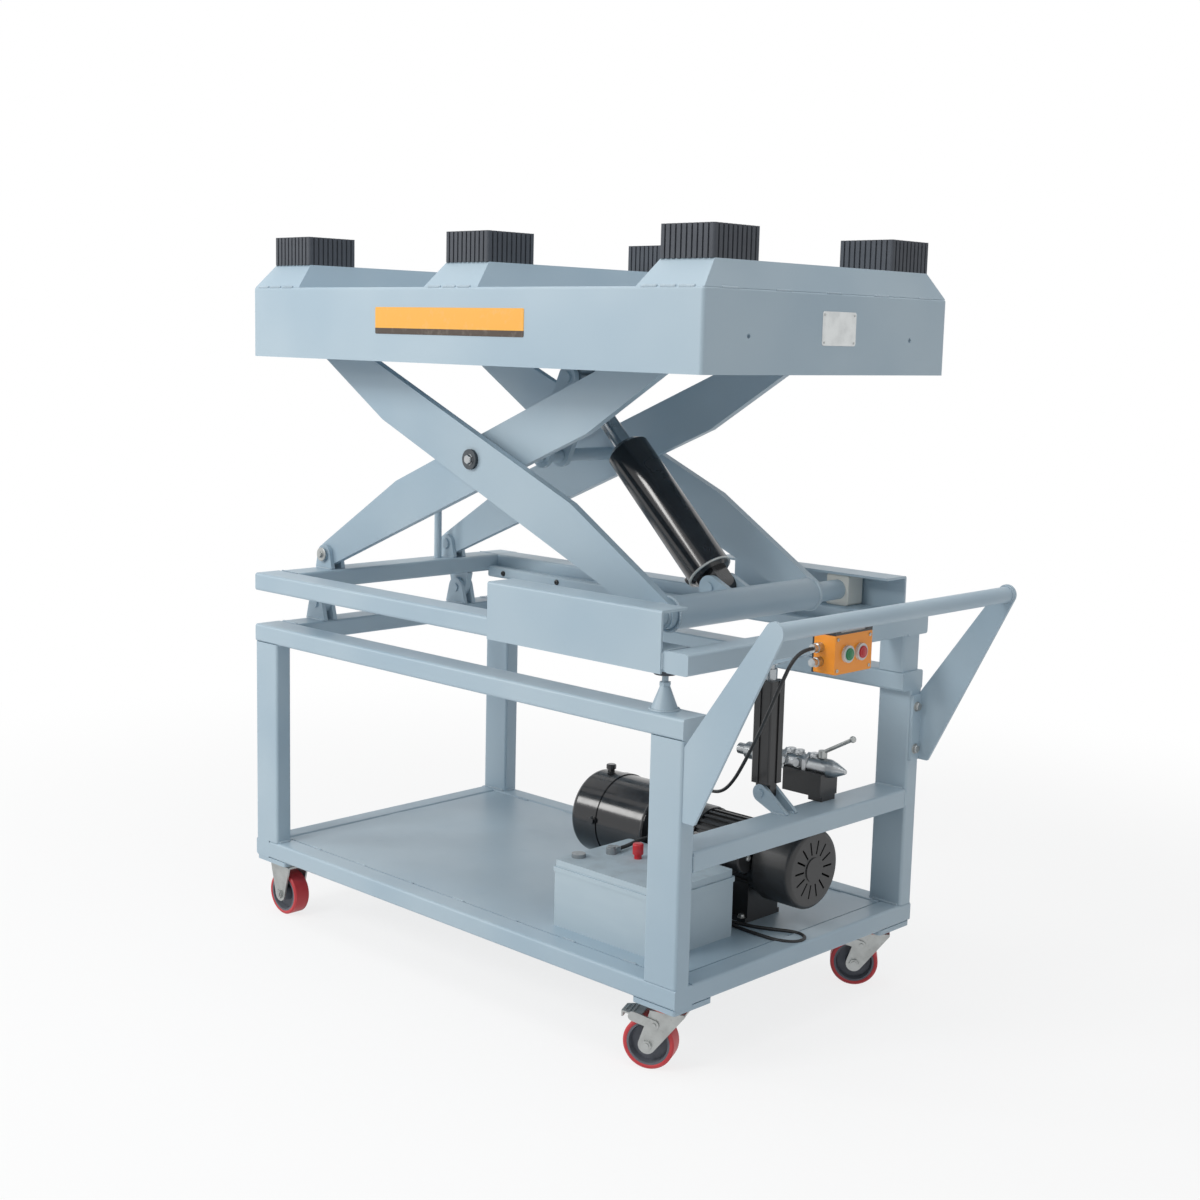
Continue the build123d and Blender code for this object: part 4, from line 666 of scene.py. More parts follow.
def hex_nut(centre: Point, axis: Point, wide: float, flat: float) -> Patch:
    """Hexagon nut with a chamfer at both ends.

    The profile goes from the bore out over one end, along the flats and back to the bore.

    Args:
        centre: the middle of one end.
        axis: the direction of the other end.
        wide: its length along the axis.
        flat: the distance of a flat from the axis.

    Returns:
        The patch.
    """
    bore, chamfer = 0.010, 0.0012
    corner = flat / math.cos(math.pi / 6)
    rows = [(0.0, bore), (0.0, flat * 0.96), (chamfer, corner, flat), (wide - chamfer, corner, flat),
            (wide, flat * 0.96), (wide, bore)]
    return turned(rows, centre, axis, sides=48, facets=6)


def screw_head(centre: Point, axis: Point, radius: float = 0.004) -> Patch:
    """Pan head with a drive recess.

    The profile goes from the seat up the rim, in over the crown and down into the recess.

    Args:
        centre: the middle of the seat.
        axis: the direction the head faces.
        radius: the head's radius.

    Returns:
        The patch.
    """
    rows = [(SEAT, 0.0), (SEAT, radius), (radius * 0.35, radius), (radius * 0.62, radius * 0.8),
            (radius * 0.72, radius * 0.45), (radius * 0.4, radius * 0.36), (radius * 0.36, 0.0)]
    return turned(rows, centre, axis, sides=24)


def swept(path: np.ndarray, radius: np.ndarray, up: Point, sides: int = 10, closed: bool = False) -> Patch:
    """Round section carried along a path.

    Each section is the path's point plus the radius on a circle at right angles to the path there.

    Args:
        path: points along the middle.
        radius: the radius at each point.
        up: a direction never along the path.
        sides: points round the section.
        closed: join the last section to the first.

    Returns:
        The patch.
    """
    if closed:
        along = np.roll(path, -1, axis=0) - np.roll(path, 1, axis=0)
    else:
        along = np.gradient(path, axis=0)
    along /= np.linalg.norm(along, axis=1, keepdims=True)
    side = np.cross(along, np.array(up, float))
    side /= np.linalg.norm(side, axis=1, keepdims=True)
    rise = np.cross(side, along)
    angle = np.linspace(0.0, 2 * math.pi, sides, endpoint=False)
    ring = np.cos(angle)[None, :, None] * side[:, None] + np.sin(angle)[None, :, None] * rise[:, None]
    return quilt(path[:, None] + radius[:, None, None] * ring, wrap_rows=closed)


def ripple(distance: np.ndarray, pitch: float) -> np.ndarray:
    """Scales of a weld: each is a rounded hump, and a slow wave makes them uneven."""
    hump = np.abs(np.sin(math.pi * distance / pitch))
    return 0.8 + 0.22 * hump + 0.07 * np.sin(distance / pitch * 0.83 + 1.3)


def bead(start: Point, end: Point, radius: float = WELD_RADIUS, pitch: float = WELD_PITCH) -> Patch:
    """Straight weld between two points, thin at its ends.

    The radius follows the ripple, times the root of the distance to the nearer end over the taper's length.

    Args:
        start: one end.
        end: the other end.
        radius: the bead's radius.
        pitch: the length of one scale.

    Returns:
        The patch.
    """
    first, last = np.array(start, float), np.array(end, float)
    length = float(np.linalg.norm(last - first))
    step, taper = 0.0011, 0.003
    share = np.linspace(0.0, 1.0, max(12, int(length / step)))
    size = radius * ripple(share * length, pitch)
    size *= np.clip(np.minimum(share, 1 - share) * length / taper, 0.0, 1.0) ** 0.5
    path = first + share[:, None] * (last - first)
    across, _, _ = basis(last - first)
    return swept(path, np.maximum(size, THIN), across, sides=8)


def weld_x(start: float, end: float, y: float, z: float, *shape: float) -> Patch:
    """Straight weld along X, with a bead's radius and pitch."""
    return bead((start, y, z), (end, y, z), *shape)


def weld_y(x: float, start: float, end: float, z: float, *shape: float) -> Patch:
    """Straight weld along Y, with a bead's radius and pitch."""
    return bead((x, start, z), (x, end, z), *shape)


def weld_z(x: float, y: float, start: float, end: float, *shape: float) -> Patch:
    """Straight weld along Z, with a bead's radius and pitch."""
    return bead((x, y, start), (x, y, end), *shape)


def ring_bead(
    centre: Point, axis: Point, ring: float, radius: float = WELD_RADIUS, pitch: float = WELD_PITCH
) -> Patch:
    """Weld round a tube.

    The radius follows the size of a sine of the angle, with one hump for each scale.

    Args:
        centre: the ring's middle.
        axis: the tube's axis.
        ring: the ring's radius.
        radius: the bead's radius.
        pitch: the length of one scale.

    Returns:
        The patch.
    """
    across, up, along = basis(axis)
    round_length, step = 2 * math.pi * ring, 0.0013
    count = max(48, int(round_length / step))
    angle = np.linspace(0.0, 2 * math.pi, count, endpoint=False)
    path = np.array(centre, float) + ring * (np.cos(angle)[:, None] * across + np.sin(angle)[:, None] * up)
    scales = max(6, round(round_length / pitch))
    size = radius * (0.8 + 0.24 * np.abs(np.sin(angle * scales / 2)))
    return swept(path, size, along, sides=8, closed=True)


def rounded_sheet(
    centre: Point, across: Point, up: Point, width: float, height: float, depth: float, corner: float
) -> Patch:
    """Thin plate with round corners and a bevelled rim, on a wall.

    The outline is four corner centres, each plus a quarter of the corner circle. The rows go from the middle
    of the back to the outline, up its edge, in over the rim's bevel and back to the middle of the front.

    Args:
        centre: the middle of its back.
        across: the direction of its width.
        up: the direction of its height.
        width: its width.
        height: its height.
        depth: its thickness.
        corner: its corner radius.

    Returns:
        The patch.
    """
    x, y = np.array(across, float), np.array(up, float)
    out = np.cross(x, y)
    steps = 7
    quarter = np.linspace(0.0, math.pi / 2, steps)
    angle = np.concatenate([quarter + k * math.pi / 2 for k in range(4)])
    sign_x = np.repeat([1, -1, -1, 1], steps)
    sign_y = np.repeat([1, 1, -1, -1], steps)
    flat = np.stack([sign_x * (width / 2 - corner), sign_y * (height / 2 - corner)], axis=1)
    circle = np.stack([np.cos(angle), np.sin(angle)], axis=1)
    rim = min(depth * 0.4, corner * 0.5)
    outline, middle = flat + corner * circle, np.zeros_like(flat)
    rows = [(middle, 0.0), (outline, 0.0), (outline, depth - rim), (flat + (corner - rim) * circle, depth),
            (middle, depth)]
    base = np.array(centre, float)
    grid = np.stack([base + edge[:, :1] * x + edge[:, 1:] * y + lift * out for edge, lift in rows])
    return quilt(grid)


def make_piece(name: str, patch: Patch, look: Look, body: str, sharp: float = 35.0) -> bpy.types.Object:
    """Mesh object from a patch, with doubles merged and normals outwards.

    Args:
        name: the piece's name.
        patch: its surface.
        look: its finish.
        body: the body that carries it.
        sharp: edges over this many degrees stay sharp.

    Returns:
        The object, in place.
    """
    mesh = bpy.data.meshes.new(name)
    mesh.from_pydata(patch.points.tolist(), [], patch.faces.tolist())
    shape = bmesh.new()
    shape.from_mesh(mesh)
    merge, least_edge = 4e-6, 1e-7
    bmesh.ops.remove_doubles(shape, verts=shape.verts, dist=merge)
    bmesh.ops.dissolve_degenerate(shape, edges=shape.edges, dist=least_edge)
    bmesh.ops.recalc_face_normals(shape, faces=shape.faces)
    shape.to_mesh(mesh)
    shape.free()
    mesh.polygons.foreach_set("use_smooth", np.ones(len(mesh.polygons), bool))
    mesh.set_sharp_from_angle(angle=math.radians(sharp))
    mesh.materials.append(look.material())
    piece = bpy.data.objects.new(name, mesh)
    bpy.context.scene.collection.objects.link(piece)
    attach(piece, body)
    LOG.info("%s: %d faces on %s", name, len(mesh.polygons), body)
    return piece


# Sub-assemblies

PUMP_TOP = (0.164, 0.065, 0.369)  # where the control cable enters
PUMP_SIDE = (0.1845, 0.005, 0.301)  # where the spare cable leaves
PUMP_LEAD = (0.180, 0.005, 0.3125)  # where the battery lead enters


@dataclass
class SubAssembly:
    """A group of nodes that are dressed together."""

    nodes: dict[str, bpy.types.Object]

    def dress(self, look: Look, *names: str) -> None:
        """Give CAD nodes a finish.

        Args:
            look: the finish.
            names: the nodes.
        """
        for name in names:
            mesh = self.nodes[name].data
            mesh.materials.clear()
            mesh.materials.append(look.material())

    def build(self) -> None:
        """Make the group's pieces and dress its nodes."""
        raise NotImplementedError


@dataclass
class Trolley(SubAssembly):
    """Rails, posts, deck, handle and rests."""

    rear: float = -0.753
    front: float = 0.547
    side: float = 0.375
    lower_top: float = 0.180
    upper_bottom: float = 0.642
    upper_top: float = 0.682
    post: tuple[float, float] = (0.080, 0.040)
    mid_rail: tuple[float, float] = (0.392, 0.432)
    mid_back: float = 0.467
    handle: tuple[float, float] = (0.737, 0.862)
    handle_foot: float = 0.494

    def post_welds(self) -> list[Patch]:
        """Fillet welds along the inner sides of each post's foot and head."""
        found = []
        long, wide = self.post
        proud, rise, outer_gap, corner_gap = 0.0005, 0.0012, 0.006, 0.005
        for end, sign in ((self.rear, 1), (self.front, -1)):
            inner = end + sign * (long + proud)
            at_rear = sign > 0
            for hand in SIDES:
                outer_y, inner_y = hand * (self.side - outer_gap), hand * (self.side - wide - proud)
                for z in (self.lower_top + rise, self.upper_bottom - rise):
                    found.append(weld_y(inner, outer_y, inner_y + hand * corner_gap, z))
                    at_foot = z < self.mid_rail[0]
                    if at_foot or at_rear:
                        found.append(weld_x(end + sign * outer_gap, inner - sign * corner_gap, inner_y, z))
        return found

    def rail_welds(self) -> list[Patch]:
        """Welds where the middle rail meets the posts and where the upper rails meet."""
        found = []
        low, high = self.mid_rail
        proud, trim, end_gap = 0.0008, 0.006, 0.008
        rail_inset, joint_end, seam_radius = 0.0702, 0.064, 0.0026
        for hand in SIDES:
            y = hand * (self.side - self.post[1] - proud)
            found.append(weld_x(self.mid_back + trim, self.front - end_gap, y, high))
            for x in (self.mid_back, self.front - proud):
                found.append(weld_z(x, y, low + trim, high - trim))
            start, end = self.rear + end_gap, self.rear + joint_end
            found.append(weld_x(start, end, hand * (self.side - rail_inset), self.upper_top, seam_radius))
        return found

    def handle_welds(self) -> list[Patch]:
        """Rings where the push bar meets its arms."""
        x, z = self.handle
        arm_face, bar_radius, bead_radius = 0.3648, 0.0163, 0.0026
        return [ring_bead((x, hand * arm_face, z), ALONG_Y, bar_radius, bead_radius) for hand in SIDES]

    def deck_welds(self) -> list[Patch]:
        """Stitches at intervals along the deck's edge."""
        margin, count, half = 0.16, 7, 0.018
        inset, z, radius = 0.0512, 0.1786, 0.0024
        middles = np.linspace(self.rear + margin, self.front - margin, count)
        return [weld_x(x - half, x + half, hand * (self.side - inset), z, radius)
                for x in middles for hand in SIDES]

    def bracket_welds(self) -> list[Patch]:
        """Welds at the actuator's lower ears, the rest cone and the rear hinge ears."""
        cone_x, cone_y, cone_radius = 0.465, -0.335, 0.0265
        found = [ring_bead((cone_x, cone_y, self.upper_top + 0.0006), ALONG_Z, cone_radius, 0.0028)]
        ear_foot = 0.4325
        for y in (-0.0188, -0.0102, 0.0102, 0.0188):
            found.append(weld_x(0.474, 0.506, y, ear_foot, 0.0034))
        hinge_y, hinge_foot = 0.215, self.upper_top + 0.0008
        for hand in SIDES:
            for off in (-0.0188, 0.0188):
                found.append(weld_x(-0.750, -0.686, hand * hinge_y + off, hinge_foot, 0.003))
        return found

    def bolts(self) -> list[Patch]:
        """Bolts through the handle's flanges into the posts."""
        face, flange_y, thread = self.front + 0.006, 0.350, 0.0095
        heights = (self.handle_foot + 0.024, self.handle_foot + 0.113)
        return [hex_bolt((face, hand * flange_y, z), ALONG_X, thread) for hand in SIDES for z in heights]

    def build(self) -> None:
        """Dress the frame and add its welds and bolts."""
        self.dress(
            Look.PAINT, "lower_ring", "deck_plate", "corner_posts", "upper_rails", "mid_rail", "handle_arms",
            "handle_bar", "rest_stops", "rear_hinges",
        )
        self.dress(Look.RUBBER, "rest_pad")
        welds = self.post_welds() + self.rail_welds() + self.handle_welds()
        welds += self.deck_welds() + self.bracket_welds()
        make_piece("trolley_welds", joined(welds), Look.BEAD, "trolley")
        make_piece("handle_bolts", joined(self.bolts()), Look.ZINC, "trolley")


@dataclass
class ControlStation(SubAssembly):
    """Two-button box under the push bar."""

    front: float = 0.727
    low: tuple[float, float] = (-0.1825, 0.765)
    high: tuple[float, float] = (-0.0715, 0.836)
    inset: float = 0.0075

    def screws(self) -> list[Patch]:
        """A screw in each corner of the cover."""
        places = [(y, z) for y in (self.low[0] + self.inset, self.high[0] - self.inset)
                  for z in (self.low[1] + self.inset, self.high[1] - self.inset)]
        return [screw_head((self.front, y, z), ALONG_X, 0.0032) for y, z in places]

    def button_discs(self) -> list[Patch]:
        """Plain discs let into the buttons' faces."""
        z = (self.low[1] + self.high[1]) / 2
        face, radius, thick = self.front + 0.009, 0.0072, 0.0005
        rows = [(SEAT, 0.0), (SEAT, radius), (0.0003, radius), (thick, 0.0068), (thick, 0.0)]
        return [turned(rows, (face, y, z), ALONG_X) for y in (-0.147, -0.107)]

    def build(self) -> None:
        """Dress the box and add its screws."""
        self.dress(Look.SATIN_BLACK, "control_hanger")
        self.dress(Look.ORANGE, "control_box", "control_cover")
        self.dress(Look.FITTINGS, "control_fittings")
        self.dress(Look.GREEN, "green_button")
        self.dress(Look.RED, "red_button")
        make_piece("cover_screws", joined(self.screws()), Look.ZINC, "trolley")
        green, red = self.button_discs()
        make_piece("green_disc", green, Look.GREEN, "green_push")
        make_piece("red_disc", red, Look.RED, "red_push")


@dataclass
class PowerPack(SubAssembly):
    """Tank, pump, motor, valves and battery."""

    axis_y: float = 0.065
    axis_z: float = 0.309
    motor: tuple[float, float] = (0.232, 0.427)
    tank: tuple[float, float] = (-0.078, 0.137)
    deck: float = 0.178
    valve: tuple[float, float] = (0.140, 0.498)
    capacitor_screw: tuple[float, float, float] = (0.4208, -0.0221, 0.3277)

    def motor_bolts(self) -> list[Patch]:
        """Foot bolts, fan cover screws and the capacitor's screw."""
        middle, foot_top = sum(self.motor) / 2, self.deck + 0.010
        found = [hex_bolt((middle + along, self.axis_y + across, foot_top), ALONG_Z)
                 for along in (-0.052, 0.052) for across in (-0.0515, 0.0515)]
        cover_x, cover_radius = self.motor[1] + 0.012, 0.0818
        for turn in np.radians([30.0, 150.0, 270.0]):
            c, s = math.cos(turn), math.sin(turn)
            seat = (cover_x, self.axis_y + cover_radius * c, self.axis_z + cover_radius * s)
            found.append(screw_head(seat, (0, c, s), 0.0042))
        found.append(screw_head(self.capacitor_screw, ALONG_X, 0.0062))
        return found

    def valve_rings(self) -> list[Patch]:
        """Hexagon nuts and port plugs along the valve's body."""
        y, z = self.valve
        nuts = ((0.307, 0.012, 0.0205), (0.380, 0.014, 0.0215), (0.437, 0.010, 0.0215))
        found = [hex_nut((x, y, z), ALONG_X, wide, flat) for x, wide, flat in nuts]
        top, face, face_z = z + 0.0175, y - 0.0178, z + 0.003
        found += [hex_bolt((x, y, top), ALONG_Z, 0.011) for x in (0.395, 0.417, 0.455)]
        found += [hex_bolt((x, face, face_z), AGAINST_Y, 0.010) for x in (0.390, 0.425)]
        return found

    def tank_seam(self) -> Patch:
        """Rolled seam near the tank's open end."""
        inset, ring, radius = 0.004, 0.0905, 0.0035
        return ring_bead((self.tank[1] - inset, self.axis_y, self.axis_z), ALONG_X, ring, radius, PLAIN)

    def band_clamp(self) -> Patch:
        """Clamp screw where the tank's band closes."""
        from_end, reach, above = 0.0725, 0.0935, 0.006
        seat = (self.tank[0] + from_end, self.axis_y - reach, self.axis_z + above)
        return hex_bolt(seat, AGAINST_Y, 0.009)

    def entry_glands(self) -> list[Patch]:
        """Tapered glands where cables enter the pump block."""
        back, rim, long = -0.0003, 0.0095, 0.020
        rows = [(back, 0.0), (back, rim), (0.006, rim), (0.0075, 0.0078), (0.013, 0.0072), (long, 0.0046),
                (long, 0.0)]
        entries = ((PUMP_TOP, ALONG_Z), (PUMP_SIDE, AGAINST_Y), (PUMP_LEAD, AGAINST_Y))
        return [turned(rows, place, axis) for place, axis in entries]

    def build(self) -> None:
        """Dress the power pack and add its fasteners."""
        self.dress(Look.BLACK, "oil_tank", "tank_fittings")
        self.dress(Look.SATIN_BLACK, "motor_body", "fan_cover", "valve_block")
        self.dress(Look.ZINC, "valve_lever")
        self.dress(Look.CAST, "pump_block")
        self.dress(Look.BLACK_PLASTIC, "motor_capacitor")
        self.dress(Look.STEEL, "valve_cartridges")
        self.dress(Look.BATTERY, "battery_case", "battery_lid")
        self.dress(Look.TERMINALS, "battery_terminals")
        make_piece("motor_bolts", joined(self.motor_bolts()), Look.ZINC, "trolley")
        make_piece("valve_rings", joined(self.valve_rings()), Look.STEEL, "trolley")
        make_piece("tank_seam", self.tank_seam(), Look.BLACK, "trolley")
        make_piece("band_clamp", self.band_clamp(), Look.BLACK, "trolley")
        make_piece("entry_glands", joined(self.entry_glands()), Look.BLACK_PLASTIC, "trolley")


@dataclass
class TiltRing(SubAssembly):
    """Ring that carries the scissor, with its actuator."""

    bottom: float = 0.759
    top: float = 0.799
    rear: float = -0.753
    hinge_x: float = -0.722
    pivot_z: float = 0.832
    channel: tuple[float, float] = (0.034, 0.492)

    def ear_welds(self) -> list[Patch]:
        """Welds at the feet of the arms' hinge ears."""
        z, half, radius = self.top + 0.0006, 0.028, 0.003
        start, end = self.hinge_x - half, self.hinge_x + half
        return [weld_x(start, end, hand * off, z, radius) for hand in SIDES for off in (0.1672, 0.2068)]

    def channel_welds(self) -> list[Patch]:
        """Upright welds at both ends of each slide channel."""
        face, trim, radius = 0.3755, 0.004, 0.0026
        return [weld_z(x, hand * face, self.bottom + trim, self.top - trim, radius)
                for hand in SIDES for x in self.channel]

    def corner_welds(self) -> list[Patch]:
        """Ground seams where the ring's rails butt."""
        z, seam, radius = self.top + 0.0002, 0.305, 0.0014
        start, end = self.rear + 0.004, self.rear + 0.066
        return [
            weld_x(start, end, seam, z, radius),
            weld_y(0.499, -0.371, -0.309, z, radius),
            weld_x(start, end, -seam, z, radius),
            weld_x(0.503, 0.549, seam, z, radius),
        ]

    def keepers(self) -> list[Patch]:
        """Keeper plates on the hinge pins' outer ends, each with a screw."""
        found = []
        pin_end, radius, thick = 0.2115, 0.016, 0.0034
        disc = [(0.0, 0.0), (0.0, radius), (0.0026, radius), (thick, 0.015), (thick, 0.0)]
        for hand in SIDES:
            y = hand * pin_end
            found.append(turned(disc, (self.hinge_x, y, self.pivot_z), (0, hand, 0)))
            found.append(hex_bolt((self.hinge_x, y + hand * thick, self.pivot_z), (0, hand, 0), 0.007))
        return found

    def bar_screws(self) -> list[Patch]:
        """Two screws in the inner face of the side bar."""
        inner, z = 0.275, 0.758
        return [screw_head((x, inner, z), AGAINST_Y, 0.0065) for x in (-0.627, -0.437)]

    def build(self) -> None:
        """Dress the ring and actuator and add welds, keepers and screws."""
        self.dress(Look.PAINT, "tilt_ring", "slide_channels", "tilt_lugs")
        self.dress(Look.SATIN_BLACK, "actuator_column")
        self.dress(Look.CHROME, "actuator_rod")
        welds = self.ear_welds() + self.channel_welds() + self.corner_welds()
        make_piece("tilt_welds", joined(welds), Look.BEAD, "tilt_frame")
        make_piece("hinge_keepers", joined(self.keepers()), Look.ZINC, "tilt_frame")
        make_piece("bar_screws", joined(self.bar_screws()), Look.SATIN_BLACK, "tilt_frame")


@dataclass
class Scissor(SubAssembly):
    """Arms, slide blocks and lift cylinder."""

    centre: tuple[float, float] = (-0.1800, 1.0890)
    low_end: tuple[float, float] = (0.3620, 0.8320)
    foot: tuple[float, float] = (0.30508, 0.85899)
    head: tuple[float, float] = (-0.10620, 1.26014)

    def tube_welds(self) -> list[Patch]:
        """Rings where the cross tube and its shaft ends meet the outer arms."""
        x, z = self.low_end
        rings = ((0.2166, 0.0328, 0.0036), (0.2356, 0.0214, 0.0034))
        return [ring_bead((x, hand * y, z), ALONG_Y, ring, radius, COARSE_PITCH)
                for hand in SIDES for y, ring, radius in rings]

    def barrel_weld(self) -> Patch:
        """Ring round the cylinder's closed end."""
        axis = np.array([self.head[0] - self.foot[0], 0.0, self.head[1] - self.foot[1]])
        axis /= np.linalg.norm(axis)
        base = np.array([self.foot[0], 0.0, self.foot[1]])
        end, ring, radius, pitch = 0.0385, 0.0455, 0.0029, 0.0052
        return ring_bead(base + axis * end, axis, ring, radius, pitch)

    def centre_screws(self) -> list[Patch]:
        """Hexagon screw in the middle of each centre bolt's head."""
        x, z = self.centre
        face, thread = 0.2395, 0.011
        return [hex_bolt((x, hand * face, z), (0, hand, 0), thread) for hand in SIDES]

    def build(self) -> None:
        """Dress the scissor and add its welds and screws."""
        self.dress(Look.PAINT, "inner_arms", "outer_arms")
        # The centre bolts' heads take steel darkened as painted shade, for the shadow ring round each pin.
        self.dress(Look.OXIDE, "centre_bolts")
        self.dress(Look.NYLON, "lower_slides", "upper_slides")
        self.dress(Look.BLACK, "cylinder_barrel")
        self.dress(Look.CHROME, "cylinder_rod")
        make_piece("cross_tube_welds", joined(self.tube_welds()), Look.BEAD, "outer_arm_frame")
        make_piece("barrel_weld", self.barrel_weld(), Look.ZINC, "lift_barrel")
        make_piece("centre_screws", joined(self.centre_screws()), Look.STEEL, "outer_arm_frame")


@dataclass
class Platform(SubAssembly):
    """Skirted top with ridges and pads."""

    rear: float = -0.757
    front: float = 0.559
    half: float = 0.372
    top: float = 1.436
    ridges: tuple[float, ...] = (-0.675, -0.099, 0.477)
    ridge_half: float = 0.080
    label: tuple[float, float, float, float] = (-0.327, 0.116, 1.342, 1.396)
    plate: tuple[float, float, float, float] = (-0.036, 0.068, 1.340, 1.403)
    plate_thick: float = 0.0009

    def ridge_welds(self) -> list[Patch]:
        """Short stitches round the foot of each ridge."""
        found = []
        z = self.top + 0.0006
        end_y, end_long, end_radius = 0.3688, 0.038, 0.0036
        inset, side_half, side_radius = 0.0006, 0.024, 0.0022
        for middle in self.ridges:
            for hand in SIDES:
                for off in (-0.066, -0.022, 0.022):
                    start = middle + off
                    found.append(weld_x(start, start + end_long, hand * end_y, z, end_radius, COARSE_PITCH))
            for sign in SIDES:
                x = middle + sign * (self.ridge_half - inset)
                for y in np.linspace(-0.30, 0.30, 5):
                    found.append(weld_y(x, y - side_half, y + side_half, z, side_radius, COARSE_PITCH))
        return found

    def label_plate(self) -> Patch:
        """Plain plate on the left skirt."""
        x0, x1, z0, z1 = self.label
        centre, corner = ((x0 + x1) / 2, -self.half, (z0 + z1) / 2), 0.003
        return rounded_sheet(centre, ALONG_X, ALONG_Z, x1 - x0, z1 - z0, self.plate_thick, corner)

    def name_plate(self) -> Patch:
        """Plain plate on the front skirt."""
        y0, y1, z0, z1 = self.plate
        centre, corner = (self.front, (y0 + y1) / 2, (z0 + z1) / 2), 0.005
        return rounded_sheet(centre, ALONG_Y, ALONG_Z, y1 - y0, z1 - z0, self.plate_thick, corner)

    def rivets(self) -> list[Patch]:
        """A rivet in each corner of the front plate."""
        y0, y1, z0, z1 = self.plate
        face, inset = self.front + self.plate_thick, 0.006
        rows = [(SEAT, 0.0), (SEAT, 0.0024), (0.0006, 0.0022), (0.0011, 0.0013), (0.0013, 0.0)]
        return [turned(rows, (face, y, z), ALONG_X, sides=20)
                for y in (y0 + inset, y1 - inset) for z in (z0 + inset, z1 - inset)]

    def build(self) -> None:
        """Dress the platform and add plates and welds."""
        self.dress(Look.PAINT, "platform_shell", "platform_ridges", "platform_tracks")
        self.dress(Look.RUBBER, "platform_pads")
        make_piece("ridge_welds", joined(self.ridge_welds()), Look.BEAD, "platform")
        make_piece("side_plate", self.label_plate(), Look.LABEL, "platform")
        make_piece("front_plate", self.name_plate(), Look.PLATE, "platform")
        make_piece("plate_rivets", joined(self.rivets()), Look.ZINC, "platform")


@dataclass
class Casters(SubAssembly):
    """Two braked swivel casters and two fixed ones."""

    swivels: dict[str, tuple[float, float, float]] = field(
        default_factory=lambda: {"handle_left": (0.493, -0.321, 25.0), "handle_right": (0.493, 0.321, 36.0)}
    )
    plate: float = 0.130

    def dust_ring(self, x: float, y: float) -> Patch:
        """Red ring that closes the swivel's ball race."""
        rows = [(-0.0105, 0.0345), (-0.0105, 0.0362), (-0.0045, 0.0366), (-0.003, 0.0345)]
        return turned(rows, (x, y, self.plate), ALONG_Z, sides=56)

    def pedal_ribs(self, x: float, y: float, turn: float) -> Patch:
        """Grip ribs across the pedal's tread."""
        angle = math.radians(turn)
        back = np.array([-math.cos(angle), -math.sin(angle), 0.0])
        across = np.array([-math.sin(angle), math.cos(angle), 0.0])
        tread_drop, radius = 0.0224, 0.0014
        base = np.array([x, y, self.plate - tread_drop])
        ribs = []
        for reach, half in ((0.068, 0.020), (0.076, 0.018), (0.084, 0.015)):
            middle = base + back * reach
            ribs.append(bead(middle - across * half, middle + across * half, radius, PLAIN))
        return joined(ribs)

    def build(self) -> None:
        """Dress the casters and add dust rings and ribs."""
        self.dress(Look.ZINC, "rear_forks", *(f"{n}_{p}" for n in self.swivels for p in ("fork", "pedal")))
        names = ("handle_left", "handle_right", "rear_left", "rear_right")
        self.dress(Look.CORE, *(f"{n}_core" for n in names))
        self.dress(Look.POLYURETHANE, *(f"{n}_tread" for n in names))
        for name, (x, y, turn) in self.swivels.items():
            make_piece(f"{name}_dust_ring", self.dust_ring(x, y), Look.RED_SEAL, f"{name}_swivel")
            make_piece(f"{name}_pedal_ribs", self.pedal_ribs(x, y, turn), Look.ZINC, f"{name}_brake")


MILLIMETRES = 1000.0  # in a metre


@dataclass
class Cable:
    """One cable along a smooth line with its route's points as control points."""

    name: str
    node: str
    route: np.ndarray
    diameter: float
    length: float
    far_end: str
    look: Look = Look.SHEATH
    lay: str = "loose"

    def build(self) -> bpy.types.Object:
        """Make the cable's curve.

        Returns:
            The curve object, which stands for the CAD tube.
        """
        curve = bpy.data.curves.new(self.name, "CURVE")
        curve.dimensions = "3D"
        curve.bevel_depth = self.diameter / 2
        curve.bevel_resolution = 4
        curve.resolution_u = 12
        curve.use_fill_caps = True
        spline = curve.splines.new("NURBS")
        spline.points.add(len(self.route) - 1)
        weighted = np.concatenate([self.route, np.ones((len(self.route), 1))], axis=1)
        spline.points.foreach_set("co", weighted.ravel())
        spline.order_u = 3
        spline.use_endpoint_u = True
        curve.materials.append(self.look.material())
        piece = bpy.data.objects.new(self.name, curve)
        bpy.context.scene.collection.objects.link(piece)
        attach(piece, "trolley")
        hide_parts(self.node)
        LOG.info("%s: %d points", self.name, len(self.route))
        return piece

    def declare(self, piece: bpy.types.Object, *with_pieces: bpy.types.Object) -> None:
        """Read the first point of the route."""
        tuple(self.route[0])


